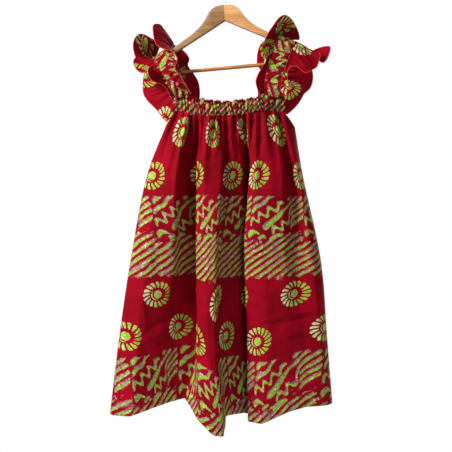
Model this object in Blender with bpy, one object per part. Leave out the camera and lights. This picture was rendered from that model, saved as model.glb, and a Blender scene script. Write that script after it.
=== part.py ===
"""Batik-print cotton sundress on a wooden hanger, at real size.

The dress has a front and a back panel gathered into an elasticated neck casing, and two
elasticated shoulder straps, each with a ruffle along its outer and its inner edge. The straps
lie over the arms of a two-piece wooden hanger with a round trouser bar and a wire hook.
+Z is up, the dress faces -Y, and the origin is the inside top of the hook.
"""
import math

import bpy
import numpy as np

MM = 0.001

# Cloth
CLOTH_WALL = 1.5 * MM
SEAM_GAP = 0.3 * MM
CASING_SEAM = 0.45 * MM  # leaves the seam gap where the casing's edge is a chord of its curve

# Hanger, measured from the crotch where the two arms meet underneath
CROTCH = np.array([-1.0, 0.0, -95.0]) * MM
HANGER_TILT = math.radians(3.9)  # right end up
HANGER_YAW = math.radians(8.0)  # left end back
ARM_DEPTH = 13.0 * MM
ARM_EDGE = 3.0 * MM
BAR_RADIUS = 4.2 * MM
BAR_DROP = 113.0 * MM
BAR_SIDES = 12
WIRE_RADIUS = 2.2 * MM
HOOK_INNER = 17.0 * MM
HOOK_SIDES = 8

# Top edge of the dress: the casing runs between its two ends, the armholes lie outside them
CASING_LEFT, CASING_RIGHT = -112.0 * MM, 134.0 * MM
SEAM_TOP_LEFT, SEAM_TOP_RIGHT = -141.0 * MM, 166.0 * MM
NECK_DEPTH_END, NECK_DEPTH_FRONT, NECK_DEPTH_BACK = 14.0 * MM, 36.0 * MM, 30.0 * MM
CASING_GATHERS = 28
CASING_RIPPLE = 2.4 * MM
CASING_PUFF = 3.0 * MM
PANEL_GATHERS = 16
PANEL_RIPPLE = 3.4 * MM
GATHER_FADE = 0.17  # share of the panel's length over which the gathers die away

# The neck line across the casing: place, and the height of its upper and lower edge, in mm
NECK_ROWS = [
    # across, top, bottom
    (-112.0, -275.0, -308.0),
    (-80.0, -279.0, -320.0),
    (-40.0, -286.0, -323.0),
    (0.0, -290.0, -322.0),
    (40.0, -285.0, -320.0),
    (90.0, -277.0, -309.0),
    (134.0, -275.0, -312.0),
]
SEAM_TOP_Z_LEFT, SEAM_TOP_Z_RIGHT = -343.0 * MM, -350.0 * MM

# Stations down the panels, as a share of the length: neck, chest, waist, thigh, hem
STATION_SHARES = (0.0, 0.19, 0.50, 0.76, 1.0)
STATION_HEIGHTS = (None, -460.0, -674.0, -849.0, None)  # mm; neck and hem follow their own edges

# Fold lines of the front, left seam to right seam. Each row is the ridge or the valley of one
# fold: its place across (x) and its depth (y, minus is forward) at chest, waist, thigh and hem,
# the height of the hem there, and its share of the cloth at the chest and at the thigh. In mm.
FRONT_FOLDS = [
    # x: chest, waist, thigh, hem    y: chest, waist, thigh, hem   hem z  share: chest, thigh
    (-186, -228, -254, -277, 0, 0, 0, 0, -1036, 0.000, 0.000),
    (-183, -225, -250, -272, -12, -12, -12, -12, -1039, 0.010, 0.010),
    (-160, -188, -209, -225, -34, -42, -44, -40, -1036, 0.050, 0.058),
    (-129, -143, -154, -174, -40, -48, -46, -38, -1019, 0.112, 0.122),
    (-101, -106, -108, -130, -30, -36, -34, -22, -1008, 0.180, 0.218),
    (-74, -80, -77, -97, -10, -4, 4, 6, -1000, 0.240, 0.272),
    (-66, -67, -65, -66, -40, -54, -62, -64, -1040, 0.272, 0.410),
    (-41, -44, -43, -29, -50, -72, -86, -96, -1070, 0.350, 0.455),
    (-9, -22, -22, -3, -44, -58, -64, -74, -1074, 0.424, 0.506),
    (-6, -15, -15, 1, -26, -26, -26, -20, -1038, 0.452, 0.560),
    (23, 13, 13, 25, -20, -8, -4, 0, -1031, 0.528, 0.640),
    (58, 52, 58, 59, -8, -4, -8, -8, -1037, 0.600, 0.718),
    (55, 43, 49, 51, -38, -38, -36, -34, -1049, 0.684, 0.750),
    (82, 86, 95, 86, -44, -52, -56, -56, -1052, 0.760, 0.815),
    (115, 129, 147, 140, -38, -48, -52, -46, -1026, 0.844, 0.885),
    (137, 160, 184, 184, -14, -24, -30, -26, -1014, 0.896, 0.936),
    (158, 189, 212, 220, -28, -30, -30, -26, -1012, 0.944, 0.965),
    (181, 226, 240, 252, -12, -12, -12, -12, -1012, 0.990, 0.990),
    (184, 229, 243, 256, 0, 0, 0, 0, -1012, 1.000, 1.000),
]

# Waves of the back, left seam to right seam: the share across, and the depth at chest and hem
BACK_FOLDS = [
    # share, chest, hem, hem z
    (0.000, 0, 0, -1036),
    (0.012, 12, 12, -1038),
    (0.090, 28, 36, -1028),
    (0.195, 18, 18, -1012),
    (0.300, 30, 42, -1000),
    (0.400, 20, 20, -996),
    (0.500, 34, 46, -996),
    (0.610, 22, 22, -998),
    (0.700, 31, 42, -1000),
    (0.800, 19, 20, -1002),
    (0.910, 28, 36, -1008),
    (0.988, 12, 12, -1013),
    (1.000, 0, 0, -1012),
]

# Middle line of each strap, from the front of the casing over the arm to the back, in mm
STRAP_PATHS = {
    # across, depth, height, half width
    "left": [
        (-105, -19, -274, 16),
        (-120, -27, -243, 17),
        (-138, -25, -207, 19),
        (-150, -12, -181, 20),
        (-156, 22, -170, 20),
        (-150, 44, -184, 20),
        (-138, 44, -212, 19),
        (-121, 33, -244, 17),
        (-106, 20, -274, 16),
    ],
    "right": [
        (110, -20, -274, 18),
        (114, -32, -240, 20),
        (122, -44, -206, 21),
        (134, -46, -172, 21),
        (145, -21, -141, 21),
        (138, 8, -170, 21),
        (126, 20, -206, 21),
        (116, 28, -242, 20),
        (109, 26, -274, 18),
    ],
}

STRAP_GATHERS = 14
STRAP_RIPPLE = 0.9 * MM
STRAP_CROWN = 2.0 * MM
RUFFLE_SEAM = 0.7 * MM  # from the strap's edge to the middle of the ruffle's wall
RUFFLE_START = 0.4  # share of a ruffle's reach that it runs out of the strap's edge before it turns

# Free edge of each ruffle, from the front of the casing over the arm to the back. Each row is
# the ridge or the valley of one wave: its place along the strap, then across, depth, height.
RUFFLE_WAVES = {
    # along, across, depth, height (mm)
    "left_outer": [
        (0, -125, -24, -290),
        (0.09, -144, -36, -256),
        (0.16, -175, -46, -244),
        (0.21, -183, -50, -218),
        (0.27, -175, -40, -212),
        (0.32, -197, -12, -224),
        (0.37, -217, -14, -208),
        (0.41, -221, -8, -190),
        (0.445, -209, 3, -181),
        (0.48, -220, 3, -171),
        (0.52, -223, 2, -147),
        (0.56, -205, 12, -119),
        (0.6, -176, 26, -138),
        (0.68, -193, 64, -183),
        (0.78, -203, 58, -238),
        (0.85, -201, 54, -266),
        (0.92, -168, 48, -303),
        (1, -144, 36, -335),
    ],
    "left_inner": [
        (0, -83, -24, -273),
        (0.12, -97, -36, -251),
        (0.22, -108, -44, -231),
        (0.3, -119, -46, -213),
        (0.36, -114, -40, -193),
        (0.41, -129, -36, -171),
        (0.45, -147, -28, -139),
        (0.49, -175, -20, -125),
        (0.52, -164, 0, -141),
        (0.55, -178, 8, -103),
        (0.6, -156, 30, -96),
        (0.65, -141, 46, -110),
        (0.7, -119, 58, -140),
        (0.75, -102, 46, -158),
        (0.8, -87, 36, -183),
        (0.84, -92, 22, -199),
        (0.89, -79, 36, -214),
        (0.95, -63, 40, -248),
        (1, -64, 24, -274),
    ],
    "right_inner": [
        (0, 82, -24, -276),
        (0.12, 72, -36, -247),
        (0.2, 79, -37, -225),
        (0.27, 88, -46, -210),
        (0.32, 97, -54, -196),
        (0.37, 86, -62, -171),
        (0.42, 91, -62, -152),
        (0.46, 122, -46, -100),
        (0.5, 145, -34, -85),
        (0.54, 172, -14, -116),
        (0.58, 179, 8, -139),
        (0.65, 144, 26, -131),
        (0.72, 88, 16, -142),
        (0.79, 76, 28, -189),
        (0.86, 88, 14, -215),
        (0.93, 78, 34, -241),
        (1, 81, 24, -274),
    ],
    "right_outer": [
        (0, 139, -26, -283),
        (0.1, 149, -40, -257),
        (0.17, 145, -43, -236),
        (0.225, 149, -53, -215),
        (0.28, 167, -58, -211),
        (0.34, 188, -60, -230),
        (0.39, 208, -50, -217),
        (0.44, 216, -46, -213),
        (0.48, 227, -38, -176),
        (0.52, 210, -25, -177),
        (0.56, 230, -18, -203),
        (0.6, 247, -12, -181),
        (0.64, 253, -6, -154),
        (0.69, 213, 6, -162),
        (0.75, 195, 24, -180),
        (0.81, 212, 22, -216),
        (0.87, 208, 32, -251),
        (0.92, 188, 28, -267),
        (0.96, 184, 44, -284),
        (1, 151, 40, -316),
    ],
}

# Hanger arm outline from the centre outwards: how far out, and its upper and lower edge, in mm
ARM_ROWS = [
    # out, top, bottom
    (0.2, 38.0, 0.0),
    (14.0, 37.0, -7.0),
    (26.0, 33.0, -13.5),
    (37.0, 24.0, -19.5),
    (47.0, 8.0, -24.8),
    (60.0, -7.5, -31.5),
    (80.0, -24.0, -42.0),
    (101.0, -36.5, -53.0),
    (136.0, -58.0, -73.0),
    (160.0, -73.0, -88.5),
    (180.0, -88.0, -105.0),
    (194.0, -102.0, -121.0),
    (200.0, -110.0, -124.0),
]

# Mesh fineness
FRONT_COLUMNS = 90
BACK_COLUMNS = 60
FRONT_LEVELS = (0.0, 0.03, 0.07, 0.12, 0.19, 0.28, 0.38, 0.50, 0.62, 0.76, 0.88, 1.0)
BACK_LEVELS = (0.0, 0.04, 0.10, 0.19, 0.31, 0.45, 0.60, 0.76, 0.88, 1.0)
ROUNDING_PASSES = 2
COLUMNS_PER_GATHER = 4
STRAP_COLUMNS = STRAP_GATHERS * COLUMNS_PER_GATHER  # a ruffle has the same, so that they fit
STRAP_ROWS = 4
RUFFLE_ROWS = 4
EDGE_ROUNDING = 2

MATERIALS = {
    # colour, roughness, metallic
    "printed_cotton": ((0.40, 0.008, 0.016, 1.0), 0.85, 0.0),
    "varnished_wood": ((0.60, 0.30, 0.12, 1.0), 0.35, 0.0),
    "steel_wire": ((0.62, 0.62, 0.64, 1.0), 0.25, 1.0),
}


def clear_scene():
    for item in list(bpy.data.objects):
        bpy.data.objects.remove(item, do_unlink=True)


def make_material(node, finish):
    colour, roughness, metallic = MATERIALS[finish]
    material = bpy.data.materials.new(f"{node}_{finish}")
    material.use_nodes = True
    shader = material.node_tree.nodes["Principled BSDF"]
    shader.inputs["Base Color"].default_value = colour
    shader.inputs["Roughness"].default_value = roughness
    shader.inputs["Metallic"].default_value = metallic
    return material


def add_solid(node, points, faces, finish, smooth=True):
    """Makes one closed object, with its faces turned so that they point out."""
    points = np.asarray(points, dtype=float)
    volume = 0.0
    for face in faces:
        a = points[face[0]]
        for b, c in zip(face[1:-1], face[2:]):
            volume += np.dot(a, np.cross(points[b], points[c]))
    if volume < 0:
        faces = [tuple(reversed(face)) for face in faces]
    mesh = bpy.data.meshes.new(node)
    mesh.from_pydata(points.tolist(), [], faces)
    mesh.validate()
    if smooth:
        mesh.shade_smooth()
        mesh.set_sharp_from_angle(angle=math.radians(50))
    mesh.materials.append(make_material(node, finish))
    item = bpy.data.objects.new(node, mesh)
    bpy.context.collection.objects.link(item)
    return item


def cloth_solid(node, front_side, back_side, finish="printed_cotton"):
    """Closes two grids of points, the two faces of the cloth, into one wall."""
    rows, columns = front_side.shape[:2]
    count = rows * columns
    points = np.concatenate([front_side.reshape(-1, 3), back_side.reshape(-1, 3)])

    def at(row, column, side):
        return side * count + row * columns + column

    faces = []
    for r in range(rows - 1):
        for c in range(columns - 1):
            quad = [(r, c), (r, c + 1), (r + 1, c + 1), (r + 1, c)]
            a, b, d, e = [at(*corner, 0) for corner in quad]
            faces += [(a, b, d), (a, d, e)]
            a, b, d, e = [at(*corner, 1) for corner in quad]
            faces += [(d, b, a), (e, d, a)]
    rim = [(0, c) for c in range(columns - 1)] + [(r, columns - 1) for r in range(rows - 1)]
    rim += [(rows - 1, c) for c in range(columns - 1, 0, -1)] + [(r, 0) for r in range(rows - 1, 0, -1)]
    for here, there in zip(rim, rim[1:] + rim[:1]):
        a, b = at(*here, 0), at(*there, 0)
        d, e = at(*there, 1), at(*here, 1)
        faces += [(b, a, e), (b, e, d)]
    return add_solid(node, points, faces, finish)


def smooth_between(places, values, at):
    """A smooth curve through the values, with no overshoot in how fast it changes."""
    places, values, at = np.asarray(places, float), np.asarray(values, float), np.asarray(at, float)
    steps = np.diff(values) / np.diff(places)
    slopes = np.concatenate([[steps[0]], (steps[1:] + steps[:-1]) / 2, [steps[-1]]])
    turning = steps[1:] * steps[:-1] <= 0
    slopes[1:-1][turning] = 0.0
    limit = 3 * np.minimum(np.abs(steps[1:]), np.abs(steps[:-1]))
    slopes[1:-1] = np.clip(slopes[1:-1], -limit, limit)
    i = np.clip(np.searchsorted(places, at, side="right") - 1, 0, len(places) - 2)
    gap = places[i + 1] - places[i]
    t = (at - places[i]) / gap
    rise = values[i] * (2 * t**3 - 3 * t**2 + 1) + values[i + 1] * (3 * t**2 - 2 * t**3)
    return rise + gap * (slopes[i] * (t**3 - 2 * t**2 + t) + slopes[i + 1] * (t**3 - t**2))


def round_folds(grid, passes):
    """Rounds the folds of a grid along its columns and leaves both ends where they are."""
    for _ in range(passes):
        inner = (grid[:, :-2] + 2 * grid[:, 1:-1] + grid[:, 2:]) / 4
        grid = np.concatenate([grid[:, :1], inner, grid[:, -1:]], axis=1)
    return grid


def grid_normals(grid):
    """The direction square to the cloth at each point of a grid."""
    along = np.gradient(grid, axis=1)
    down = np.gradient(grid, axis=0)
    normal = np.cross(down, along)
    return normal / np.linalg.norm(normal, axis=2, keepdims=True)


def neck_edge(x, which):
    """Height of the casing's upper (1) or lower (2) edge at x."""
    rows = np.array(NECK_ROWS) * MM
    return smooth_between(rows[:, 0], rows[:, which], x)


def neck_depth(x, side):
    """How far the casing stands forward (side -1) or back (side 1) at x."""
    middle = (CASING_LEFT + CASING_RIGHT) / 2
    half = (CASING_RIGHT - CASING_LEFT) / 2
    away = np.clip(np.abs(x - middle) / half, 0, 1)
    full = NECK_DEPTH_FRONT if side < 0 else NECK_DEPTH_BACK
    return side * (full - (full - NECK_DEPTH_END) * away**2.5)


def top_edge(shares, side):
    """The top edge of a panel for shares of its width: armhole, neck, armhole."""
    casing = (0.055, 0.945)
    x = np.interp(shares, (0, *casing, 1), (SEAM_TOP_LEFT, CASING_LEFT, CASING_RIGHT, SEAM_TOP_RIGHT))
    z = neck_edge(np.clip(x, CASING_LEFT, CASING_RIGHT), 2) - CASING_SEAM
    y = neck_depth(x, side)
    for end, corner, seam_z in (
        (shares < casing[0], CASING_LEFT, SEAM_TOP_Z_LEFT),
        (shares > casing[1], CASING_RIGHT, SEAM_TOP_Z_RIGHT),
    ):
        seam_x = SEAM_TOP_LEFT if corner == CASING_LEFT else SEAM_TOP_RIGHT
        out = np.clip((x - corner) / (seam_x - corner), 0, 1)
        neck_z = neck_edge(corner, 2) - CASING_SEAM
        z = np.where(end, neck_z + (seam_z - neck_z) * out**1.3, z)
        y = np.where(end, side * NECK_DEPTH_END * np.sqrt(1 - out**2), y)
    return np.stack([x, y, z], axis=-1)


def front_stations():
    """Front fold lines as points at the five stations, with the cloth share at the neck."""
    rows = np.array(FRONT_FOLDS, dtype=float)
    stations = [top_edge(rows[:, 9], -1)]
    for k, height in enumerate(STATION_HEIGHTS[1:]):
        z = rows[:, 8] if height is None else np.full(len(rows), height)
        stations.append(np.stack([rows[:, k], rows[:, 4 + k], z], axis=-1) * MM)
    return np.array(stations)


def back_stations():
    """Back waves as points at the five stations, between the front's two seams."""
    rows = np.array(BACK_FOLDS, dtype=float)
    front = front_stations()
    share = rows[:, 0]
    stations = [top_edge(share, 1)]
    for k, height in enumerate(STATION_HEIGHTS[1:]):
        left, right = front[k + 1, 0, 0], front[k + 1, -1, 0]
        mix = k / (len(STATION_HEIGHTS) - 2)
        y = (rows[:, 1] * (1 - mix) + rows[:, 2] * mix) * MM
        z = (rows[:, 3] if height is None else np.full(len(rows), height)) * MM
        stations.append(np.stack([left + (right - left) * share, y, z], axis=-1))
    return np.array(stations)


def columns_between(stations, total):
    """Places along the fold lines, spread by how much cloth lies between them."""
    lengths = np.linalg.norm(np.diff(stations[1:], axis=1), axis=2).mean(axis=0)
    ends = np.concatenate([[0], np.cumsum(lengths)])
    return np.interp(np.linspace(0, ends[-1], total + 1), ends, np.arange(len(ends)))


def panel_grid(stations, columns, levels, passes):
    """Points of a panel: smooth down each fold line, rounded across the folds."""
    lines = stations.shape[1]
    drawn = np.zeros((len(levels), lines, 3))
    for line in range(lines):
        for axis in range(3):
            drawn[:, line, axis] = smooth_between(STATION_SHARES, stations[:, line, axis], levels)
    grid = np.zeros((len(levels), len(columns), 3))
    for level in range(len(levels)):
        for axis in range(3):
            grid[level, :, axis] = np.interp(columns, np.arange(lines), drawn[level, :, axis])
    ends = grid[:, [0, -1]].copy()
    grid = round_folds(grid, passes)
    grid[:, [0, -1]] = ends
    return grid


def gather_wave(turns):
    """An uneven ripple between -1 and 1; turns counts the gathers."""
    return np.sin(2 * math.pi * (turns + 0.11 * np.sin(turns * 2.3) + 0.07 * np.sin(turns * 5.1)))


def make_panel(node, stations, shares, total, levels, side):
    levels = np.array(levels)
    columns = columns_between(stations, total)
    base = panel_grid(stations, columns, levels, ROUNDING_PASSES)
    neck_shares = np.interp(columns, np.arange(len(shares)), shares)
    base[0] = top_edge(neck_shares, side)
    normal = grid_normals(base)
    if np.mean(normal[..., 1]) * side < 0:
        normal = -normal
    normal[:, 0] = (-1, 0, 0)
    normal[:, -1] = (1, 0, 0)
    fade = np.clip(1 - levels / GATHER_FADE, 0, 1)[:, None] ** 0.8
    ends = np.clip(np.minimum(neck_shares, 1 - neck_shares) / 0.05, 0, 1)
    outer = base.copy()
    outer[..., 1] += side * PANEL_RIPPLE * fade * ends * gather_wave(neck_shares * PANEL_GATHERS)
    outer[:, [0, -1], 1] = side * SEAM_GAP / 2
    inner = outer - normal * CLOTH_WALL
    inner[:, [0, -1], 1] = side * SEAM_GAP / 2
    inner[0, :, 2] = outer[0, :, 2]
    return cloth_solid(node, outer, inner)


def make_casing(node, side):
    count = CASING_GATHERS * COLUMNS_PER_GATHER
    x = np.linspace(CASING_LEFT, CASING_RIGHT, count + 1)
    turns = np.linspace(0, CASING_GATHERS, count + 1)
    wave = gather_wave(turns + (0.0 if side < 0 else 0.4))
    top, bottom = neck_edge(x, 1), neck_edge(x, 2)
    frill = 1.6 * MM * (1 + gather_wave(turns * 0.5 + 0.2))
    ends = np.clip(np.minimum(turns, CASING_GATHERS - turns) / 3, 0, 1)
    rows = []
    for up, puff, size in ((1.0, 0.0, 1.25), (0.55, 1.0, 0.9), (0.0, 0.1, 1.0)):
        y = neck_depth(x, side) + side * (CASING_PUFF * puff + CASING_RIPPLE * size * wave)
        z = bottom + (top - bottom) * up - frill * ends * up
        rows.append(np.stack([x, y, z], axis=-1))
    outer = np.array(rows)
    inner = outer.copy()
    inner[..., 1] -= side * CLOTH_WALL
    return cloth_solid(node, outer, inner)


def path_points(rows, count):
    """A smooth path through hand-placed rows, its points evenly spaced by length."""
    rows = np.array(rows, dtype=float)
    steps = np.linalg.norm(np.diff(rows[:, :3], axis=0), axis=1)
    ends = np.concatenate([[0], np.cumsum(steps)])
    along = np.linspace(0, ends[-1], count + 1)
    return np.stack([smooth_between(ends, rows[:, k], along) for k in range(rows.shape[1])], axis=-1)


def strap_frame(side, count):
    """Middle of the strap, its outward direction along the hanger's arm, and its half width."""
    path = path_points(STRAP_PATHS[side], count)
    middle, half = path[:, :3] * MM, path[:, 3] * MM
    run = np.gradient(middle, axis=0)
    run /= np.linalg.norm(run, axis=1, keepdims=True)
    sign = -1 if side == "left" else 1
    arm = np.array([sign * 1.0, -sign * math.tan(HANGER_YAW), -0.56 + sign * 0.07])
    outward = arm - run * (run @ arm)[:, None]
    outward /= np.linalg.norm(outward, axis=1, keepdims=True)
    return middle, outward, half


def strap_surface(side, count, rows):
    middle, outward, half = strap_frame(side, count)
    across = np.linspace(-1, 1, rows)[:, None]
    run = np.gradient(middle, axis=0)
    square = np.cross(run, outward)
    square /= np.linalg.norm(square, axis=1, keepdims=True)
    if square[count // 2, 2] < 0:
        square = -square
    ripple = STRAP_RIPPLE * gather_wave(np.linspace(0, STRAP_GATHERS, count + 1))
    rise = (STRAP_CROWN + ripple) * (1 - across**2)
    return middle + outward * (half * across)[..., None] + square * rise[..., None], square


def make_strap(side):
    grid, square = strap_surface(side, STRAP_COLUMNS, STRAP_ROWS)
    return cloth_solid(f"strap_{side}", grid + square * CLOTH_WALL, grid)


def ruffle_grid(name, columns, rows):
    """Cloth of a ruffle: from the strap's edge out to the waving free edge."""
    side, edge = name.split("_")
    sign = -1 if edge == "inner" else 1
    middle, outward, half = strap_frame(side, columns)
    root = middle + outward * (sign * (half + RUFFLE_SEAM))[:, None]
    waves = np.array(RUFFLE_WAVES[name], dtype=float)
    along = np.linspace(0, 1, columns + 1)
    free = np.stack([smooth_between(waves[:, 0], waves[:, k], along) for k in (1, 2, 3)], axis=-1) * MM
    free = round_folds(free[None], EDGE_ROUNDING)[0]
    reach = np.linalg.norm(free - root, axis=1, keepdims=True)
    bend = root + outward * sign * reach * RUFFLE_START
    grid = []
    for out in np.linspace(0, 1, rows + 1):
        grid.append(root * (1 - out) ** 2 + 2 * bend * out * (1 - out) + free * out**2)
    return np.array(grid)


def make_ruffle(name):
    grid = ruffle_grid(name, STRAP_COLUMNS, RUFFLE_ROWS)
    normal = grid_normals(grid) * CLOTH_WALL / 2
    return cloth_solid(f"ruffle_{name}", grid + normal, grid - normal)


def hanger_to_world(points):
    """Turns hanger points by its tilt and yaw about the crotch."""
    points = np.asarray(points, dtype=float)
    c, s = math.cos(HANGER_TILT), math.sin(HANGER_TILT)
    tilt = np.array([[c, 0, -s], [0, 1, 0], [s, 0, c]])
    c, s = math.cos(HANGER_YAW), math.sin(HANGER_YAW)
    yaw = np.array([[c, s, 0], [-s, c, 0], [0, 0, 1]])
    return points @ (yaw @ tilt).T + CROTCH


def sweep(node, sections, finish):
    """Closes a row of equal point rings into a solid with flat ends."""
    sections = np.asarray(sections)
    rings, sides = sections.shape[:2]
    faces = []
    for r in range(rings - 1):
        for k in range(sides):
            j = (k + 1) % sides
            a, b = r * sides + k, r * sides + j
            faces += [(a, b, b + sides), (a, b + sides, a + sides)]
    faces.append(tuple(range(sides - 1, -1, -1)))
    faces.append(tuple((rings - 1) * sides + k for k in range(sides)))
    return add_solid(node, sections.reshape(-1, 3), faces, finish)


def make_arm(side):
    sign = -1 if side == "left" else 1
    sections = []
    for out, top, bottom in np.array(ARM_ROWS) * MM:
        half, edge = ARM_DEPTH / 2, min(ARM_EDGE, (top - bottom) * 0.3)
        corners = [
            (-half + edge, top), (half - edge, top), (half, top - edge), (half, bottom + edge),
            (half - edge, bottom), (-half + edge, bottom), (-half, bottom + edge), (-half, top - edge),
        ]
        sections.append([(sign * out, y, z) for y, z in corners])
    return sweep(f"hanger_arm_{side}", [hanger_to_world(ring) for ring in sections], "varnished_wood")


def make_bar():
    """The bar, its ends cut to the slope of the arms' lower edges."""
    outs, _, bottoms = (np.array(ARM_ROWS) * MM).T
    rings = []
    for sign in (-1, 1):
        ring = []
        for k in range(BAR_SIDES):
            turn = 2 * math.pi * k / BAR_SIDES
            z = BAR_RADIUS * math.sin(turn) - BAR_DROP
            end = np.interp(-z, -bottoms, outs) - 2 * SEAM_GAP
            ring.append((sign * end, BAR_RADIUS * math.cos(turn), z))
        rings.append(ring)
    return sweep("trouser_bar", [hanger_to_world(ring) for ring in rings], "varnished_wood")


def hook_line():
    """Middle line of the hook wire: up from the wood, then round to an open tip."""
    radius = HOOK_INNER + WIRE_RADIUS
    centre = np.array([0.0, -HOOK_INNER])
    foot = hanger_to_world([(0, 0, ARM_ROWS[0][1] * MM)])[0][2] + SEAM_GAP
    line = [(0.0, foot), (0.0, foot + 6 * MM), (1.5 * MM, centre[1] - radius - 1.0 * MM)]
    for degrees in range(-55, 206, 20):
        turn = math.radians(degrees)
        line.append((centre[0] + radius * math.cos(turn), centre[1] + radius * math.sin(turn)))
    return line


def make_hook():
    line = np.array(hook_line())
    run = np.gradient(line, axis=0)
    run /= np.linalg.norm(run, axis=1, keepdims=True)
    run[0] = (0, 1)
    rings = []
    for (x, z), (dx, dz) in zip(line, run):
        ring = []
        for k in range(HOOK_SIDES):
            turn = 2 * math.pi * k / HOOK_SIDES
            out, depth = WIRE_RADIUS * math.cos(turn), WIRE_RADIUS * math.sin(turn)
            ring.append((x + dz * out, depth, z - dx * out))
        rings.append(ring)
    return sweep("hook", rings, "steel_wire")


def build():
    clear_scene()
    front_shares = [row[9] for row in FRONT_FOLDS]
    back_shares = [row[0] for row in BACK_FOLDS]
    make_panel("front_panel", front_stations(), front_shares, FRONT_COLUMNS, FRONT_LEVELS, -1)
    make_panel("back_panel", back_stations(), back_shares, BACK_COLUMNS, BACK_LEVELS, 1)
    make_casing("neck_casing_front", -1)
    make_casing("neck_casing_back", 1)
    for side in ("left", "right"):
        make_strap(side)
        make_arm(side)
    for name in RUFFLE_WAVES:
        make_ruffle(name)
    make_bar()
    make_hook()


build()
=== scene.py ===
import math

import bpy
import numpy as np
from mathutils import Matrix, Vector, noise


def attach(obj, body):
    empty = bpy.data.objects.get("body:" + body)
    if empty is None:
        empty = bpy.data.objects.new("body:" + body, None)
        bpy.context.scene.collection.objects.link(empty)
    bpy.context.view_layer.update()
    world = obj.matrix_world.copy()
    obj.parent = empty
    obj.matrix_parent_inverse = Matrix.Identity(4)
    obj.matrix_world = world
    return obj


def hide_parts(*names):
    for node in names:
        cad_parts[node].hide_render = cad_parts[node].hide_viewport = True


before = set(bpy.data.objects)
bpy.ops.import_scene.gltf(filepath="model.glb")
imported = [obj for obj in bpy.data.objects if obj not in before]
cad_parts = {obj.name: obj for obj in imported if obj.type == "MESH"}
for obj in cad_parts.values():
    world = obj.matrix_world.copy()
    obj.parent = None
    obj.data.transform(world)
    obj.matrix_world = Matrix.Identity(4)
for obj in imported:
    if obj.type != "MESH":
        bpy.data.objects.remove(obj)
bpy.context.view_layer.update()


# --- Hanger arms ------------------------------------------------------------------------------
# The two arms are 13 mm beech boards, band-sawn to their curve, rounded over on a spindle and
# glued end to end at the centre. A thin satin varnish leaves the grain and its warm tan to see.

MM = 0.001
CROTCH = np.array([-1.0, 0.0, -95.0]) * MM
TILT = math.radians(3.9)  # the dress weighs the left end down
YAW = math.radians(8.0)  # the left end hangs back
ARM_DEPTH = 13.0 * MM
ARM_ROWS = [
    # out from the centre, upper edge, lower edge, in mm from the crotch
    (0.15, 38.0, 0.0),
    (14.0, 37.0, -7.0),
    (26.0, 33.0, -13.5),
    (37.0, 24.0, -19.5),
    (47.0, 8.0, -24.8),
    (60.0, -7.5, -31.5),
    (80.0, -24.0, -42.0),
    (101.0, -36.5, -53.0),
    (136.0, -58.0, -73.0),
    (160.0, -73.0, -88.5),
    (180.0, -88.0, -105.0),
    (194.0, -102.0, -121.0),
    (200.0, -110.0, -124.0),
]
ARM_RINGS = 60
ARM_ROUNDING = 1.8 * MM
ARM_GRAIN_SLANT = 0.5  # radians, as the arms slope
# One beech in two tones: the left arm's pair is darker as painted shade, the right arm's lighter as
# painted light
ARM_LIT_AND_SHADED_TONES = {"left": ("#A17749", "#7B5730"), "right": ("#DBA36C", "#BE854F")}  # ground, grain lines


def linear(hex_colour):
    """An sRGB hex colour as the linear values that a shader wants."""
    parts = [int(hex_colour[i:i + 2], 16) / 255 for i in (1, 3, 5)]
    return [c / 12.92 if c <= 0.04045 else ((c + 0.055) / 1.055) ** 2.4 for c in parts] + [1.0]


def add(tree, kind, inputs=(), operation=None, out=0, **settings):
    """Adds one node with its settings, links or sets its inputs, and gives the output asked for."""
    item = tree.nodes.new("ShaderNode" + kind)
    if operation:
        item.operation = operation
    for name, value in settings.items():
        setattr(item, name, value)
    pairs = inputs.items() if isinstance(inputs, dict) else enumerate(inputs)
    for place, value in pairs:
        if isinstance(value, bpy.types.NodeSocket):
            tree.links.new(value, item.inputs[place])
        else:
            item.inputs[place].default_value = value
    return item.outputs[out]


def new_material(name):
    """An empty material with its Principled shader joined to the output."""
    made = bpy.data.materials.new(name)
    made.use_nodes = True
    return made, made.node_tree, made.node_tree.nodes["Principled BSDF"]


def smooth_between(places, values, at):
    """A smooth curve through the values, with no overshoot in how fast it changes."""
    places, values, at = np.asarray(places, float), np.asarray(values, float), np.asarray(at, float)
    steps = np.diff(values) / np.diff(places)
    slopes = np.concatenate([[steps[0]], (steps[1:] + steps[:-1]) / 2, [steps[-1]]])
    slopes[1:-1][steps[1:] * steps[:-1] <= 0] = 0.0
    limit = 3 * np.minimum(np.abs(steps[1:]), np.abs(steps[:-1]))
    slopes[1:-1] = np.clip(slopes[1:-1], -limit, limit)
    i = np.clip(np.searchsorted(places, at, side="right") - 1, 0, len(places) - 2)
    gap = places[i + 1] - places[i]
    t = (at - places[i]) / gap
    rise = values[i] * (2 * t**3 - 3 * t**2 + 1) + values[i + 1] * (3 * t**2 - 2 * t**3)
    return rise + gap * (slopes[i] * (t**3 - 2 * t**2 + t) + slopes[i + 1] * (t**3 - t**2))


def hanger_to_world(points):
    """Turns hanger points by its tilt and yaw about the crotch."""
    c, s = math.cos(TILT), math.sin(TILT)
    tilt = np.array([[c, 0, -s], [0, 1, 0], [s, 0, c]])
    c, s = math.cos(YAW), math.sin(YAW)
    yaw = np.array([[c, s, 0], [-s, c, 0], [0, 0, 1]])
    return np.asarray(points, float) @ (yaw @ tilt).T + CROTCH


def make_piece(name, points, faces, material, smooth_angle=60):
    """One mesh object that rides on the hanger's body, shaded smooth up to an angle."""
    mesh = bpy.data.meshes.new(name)
    mesh.from_pydata(np.asarray(points).reshape(-1, 3).tolist(), [], faces)
    mesh.validate()
    mesh.shade_smooth()
    mesh.set_sharp_from_angle(angle=math.radians(smooth_angle))
    mesh.materials.append(material)
    item = bpy.data.objects.new(name, mesh)
    bpy.context.collection.objects.link(item)
    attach(item, "root")
    return item


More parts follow.
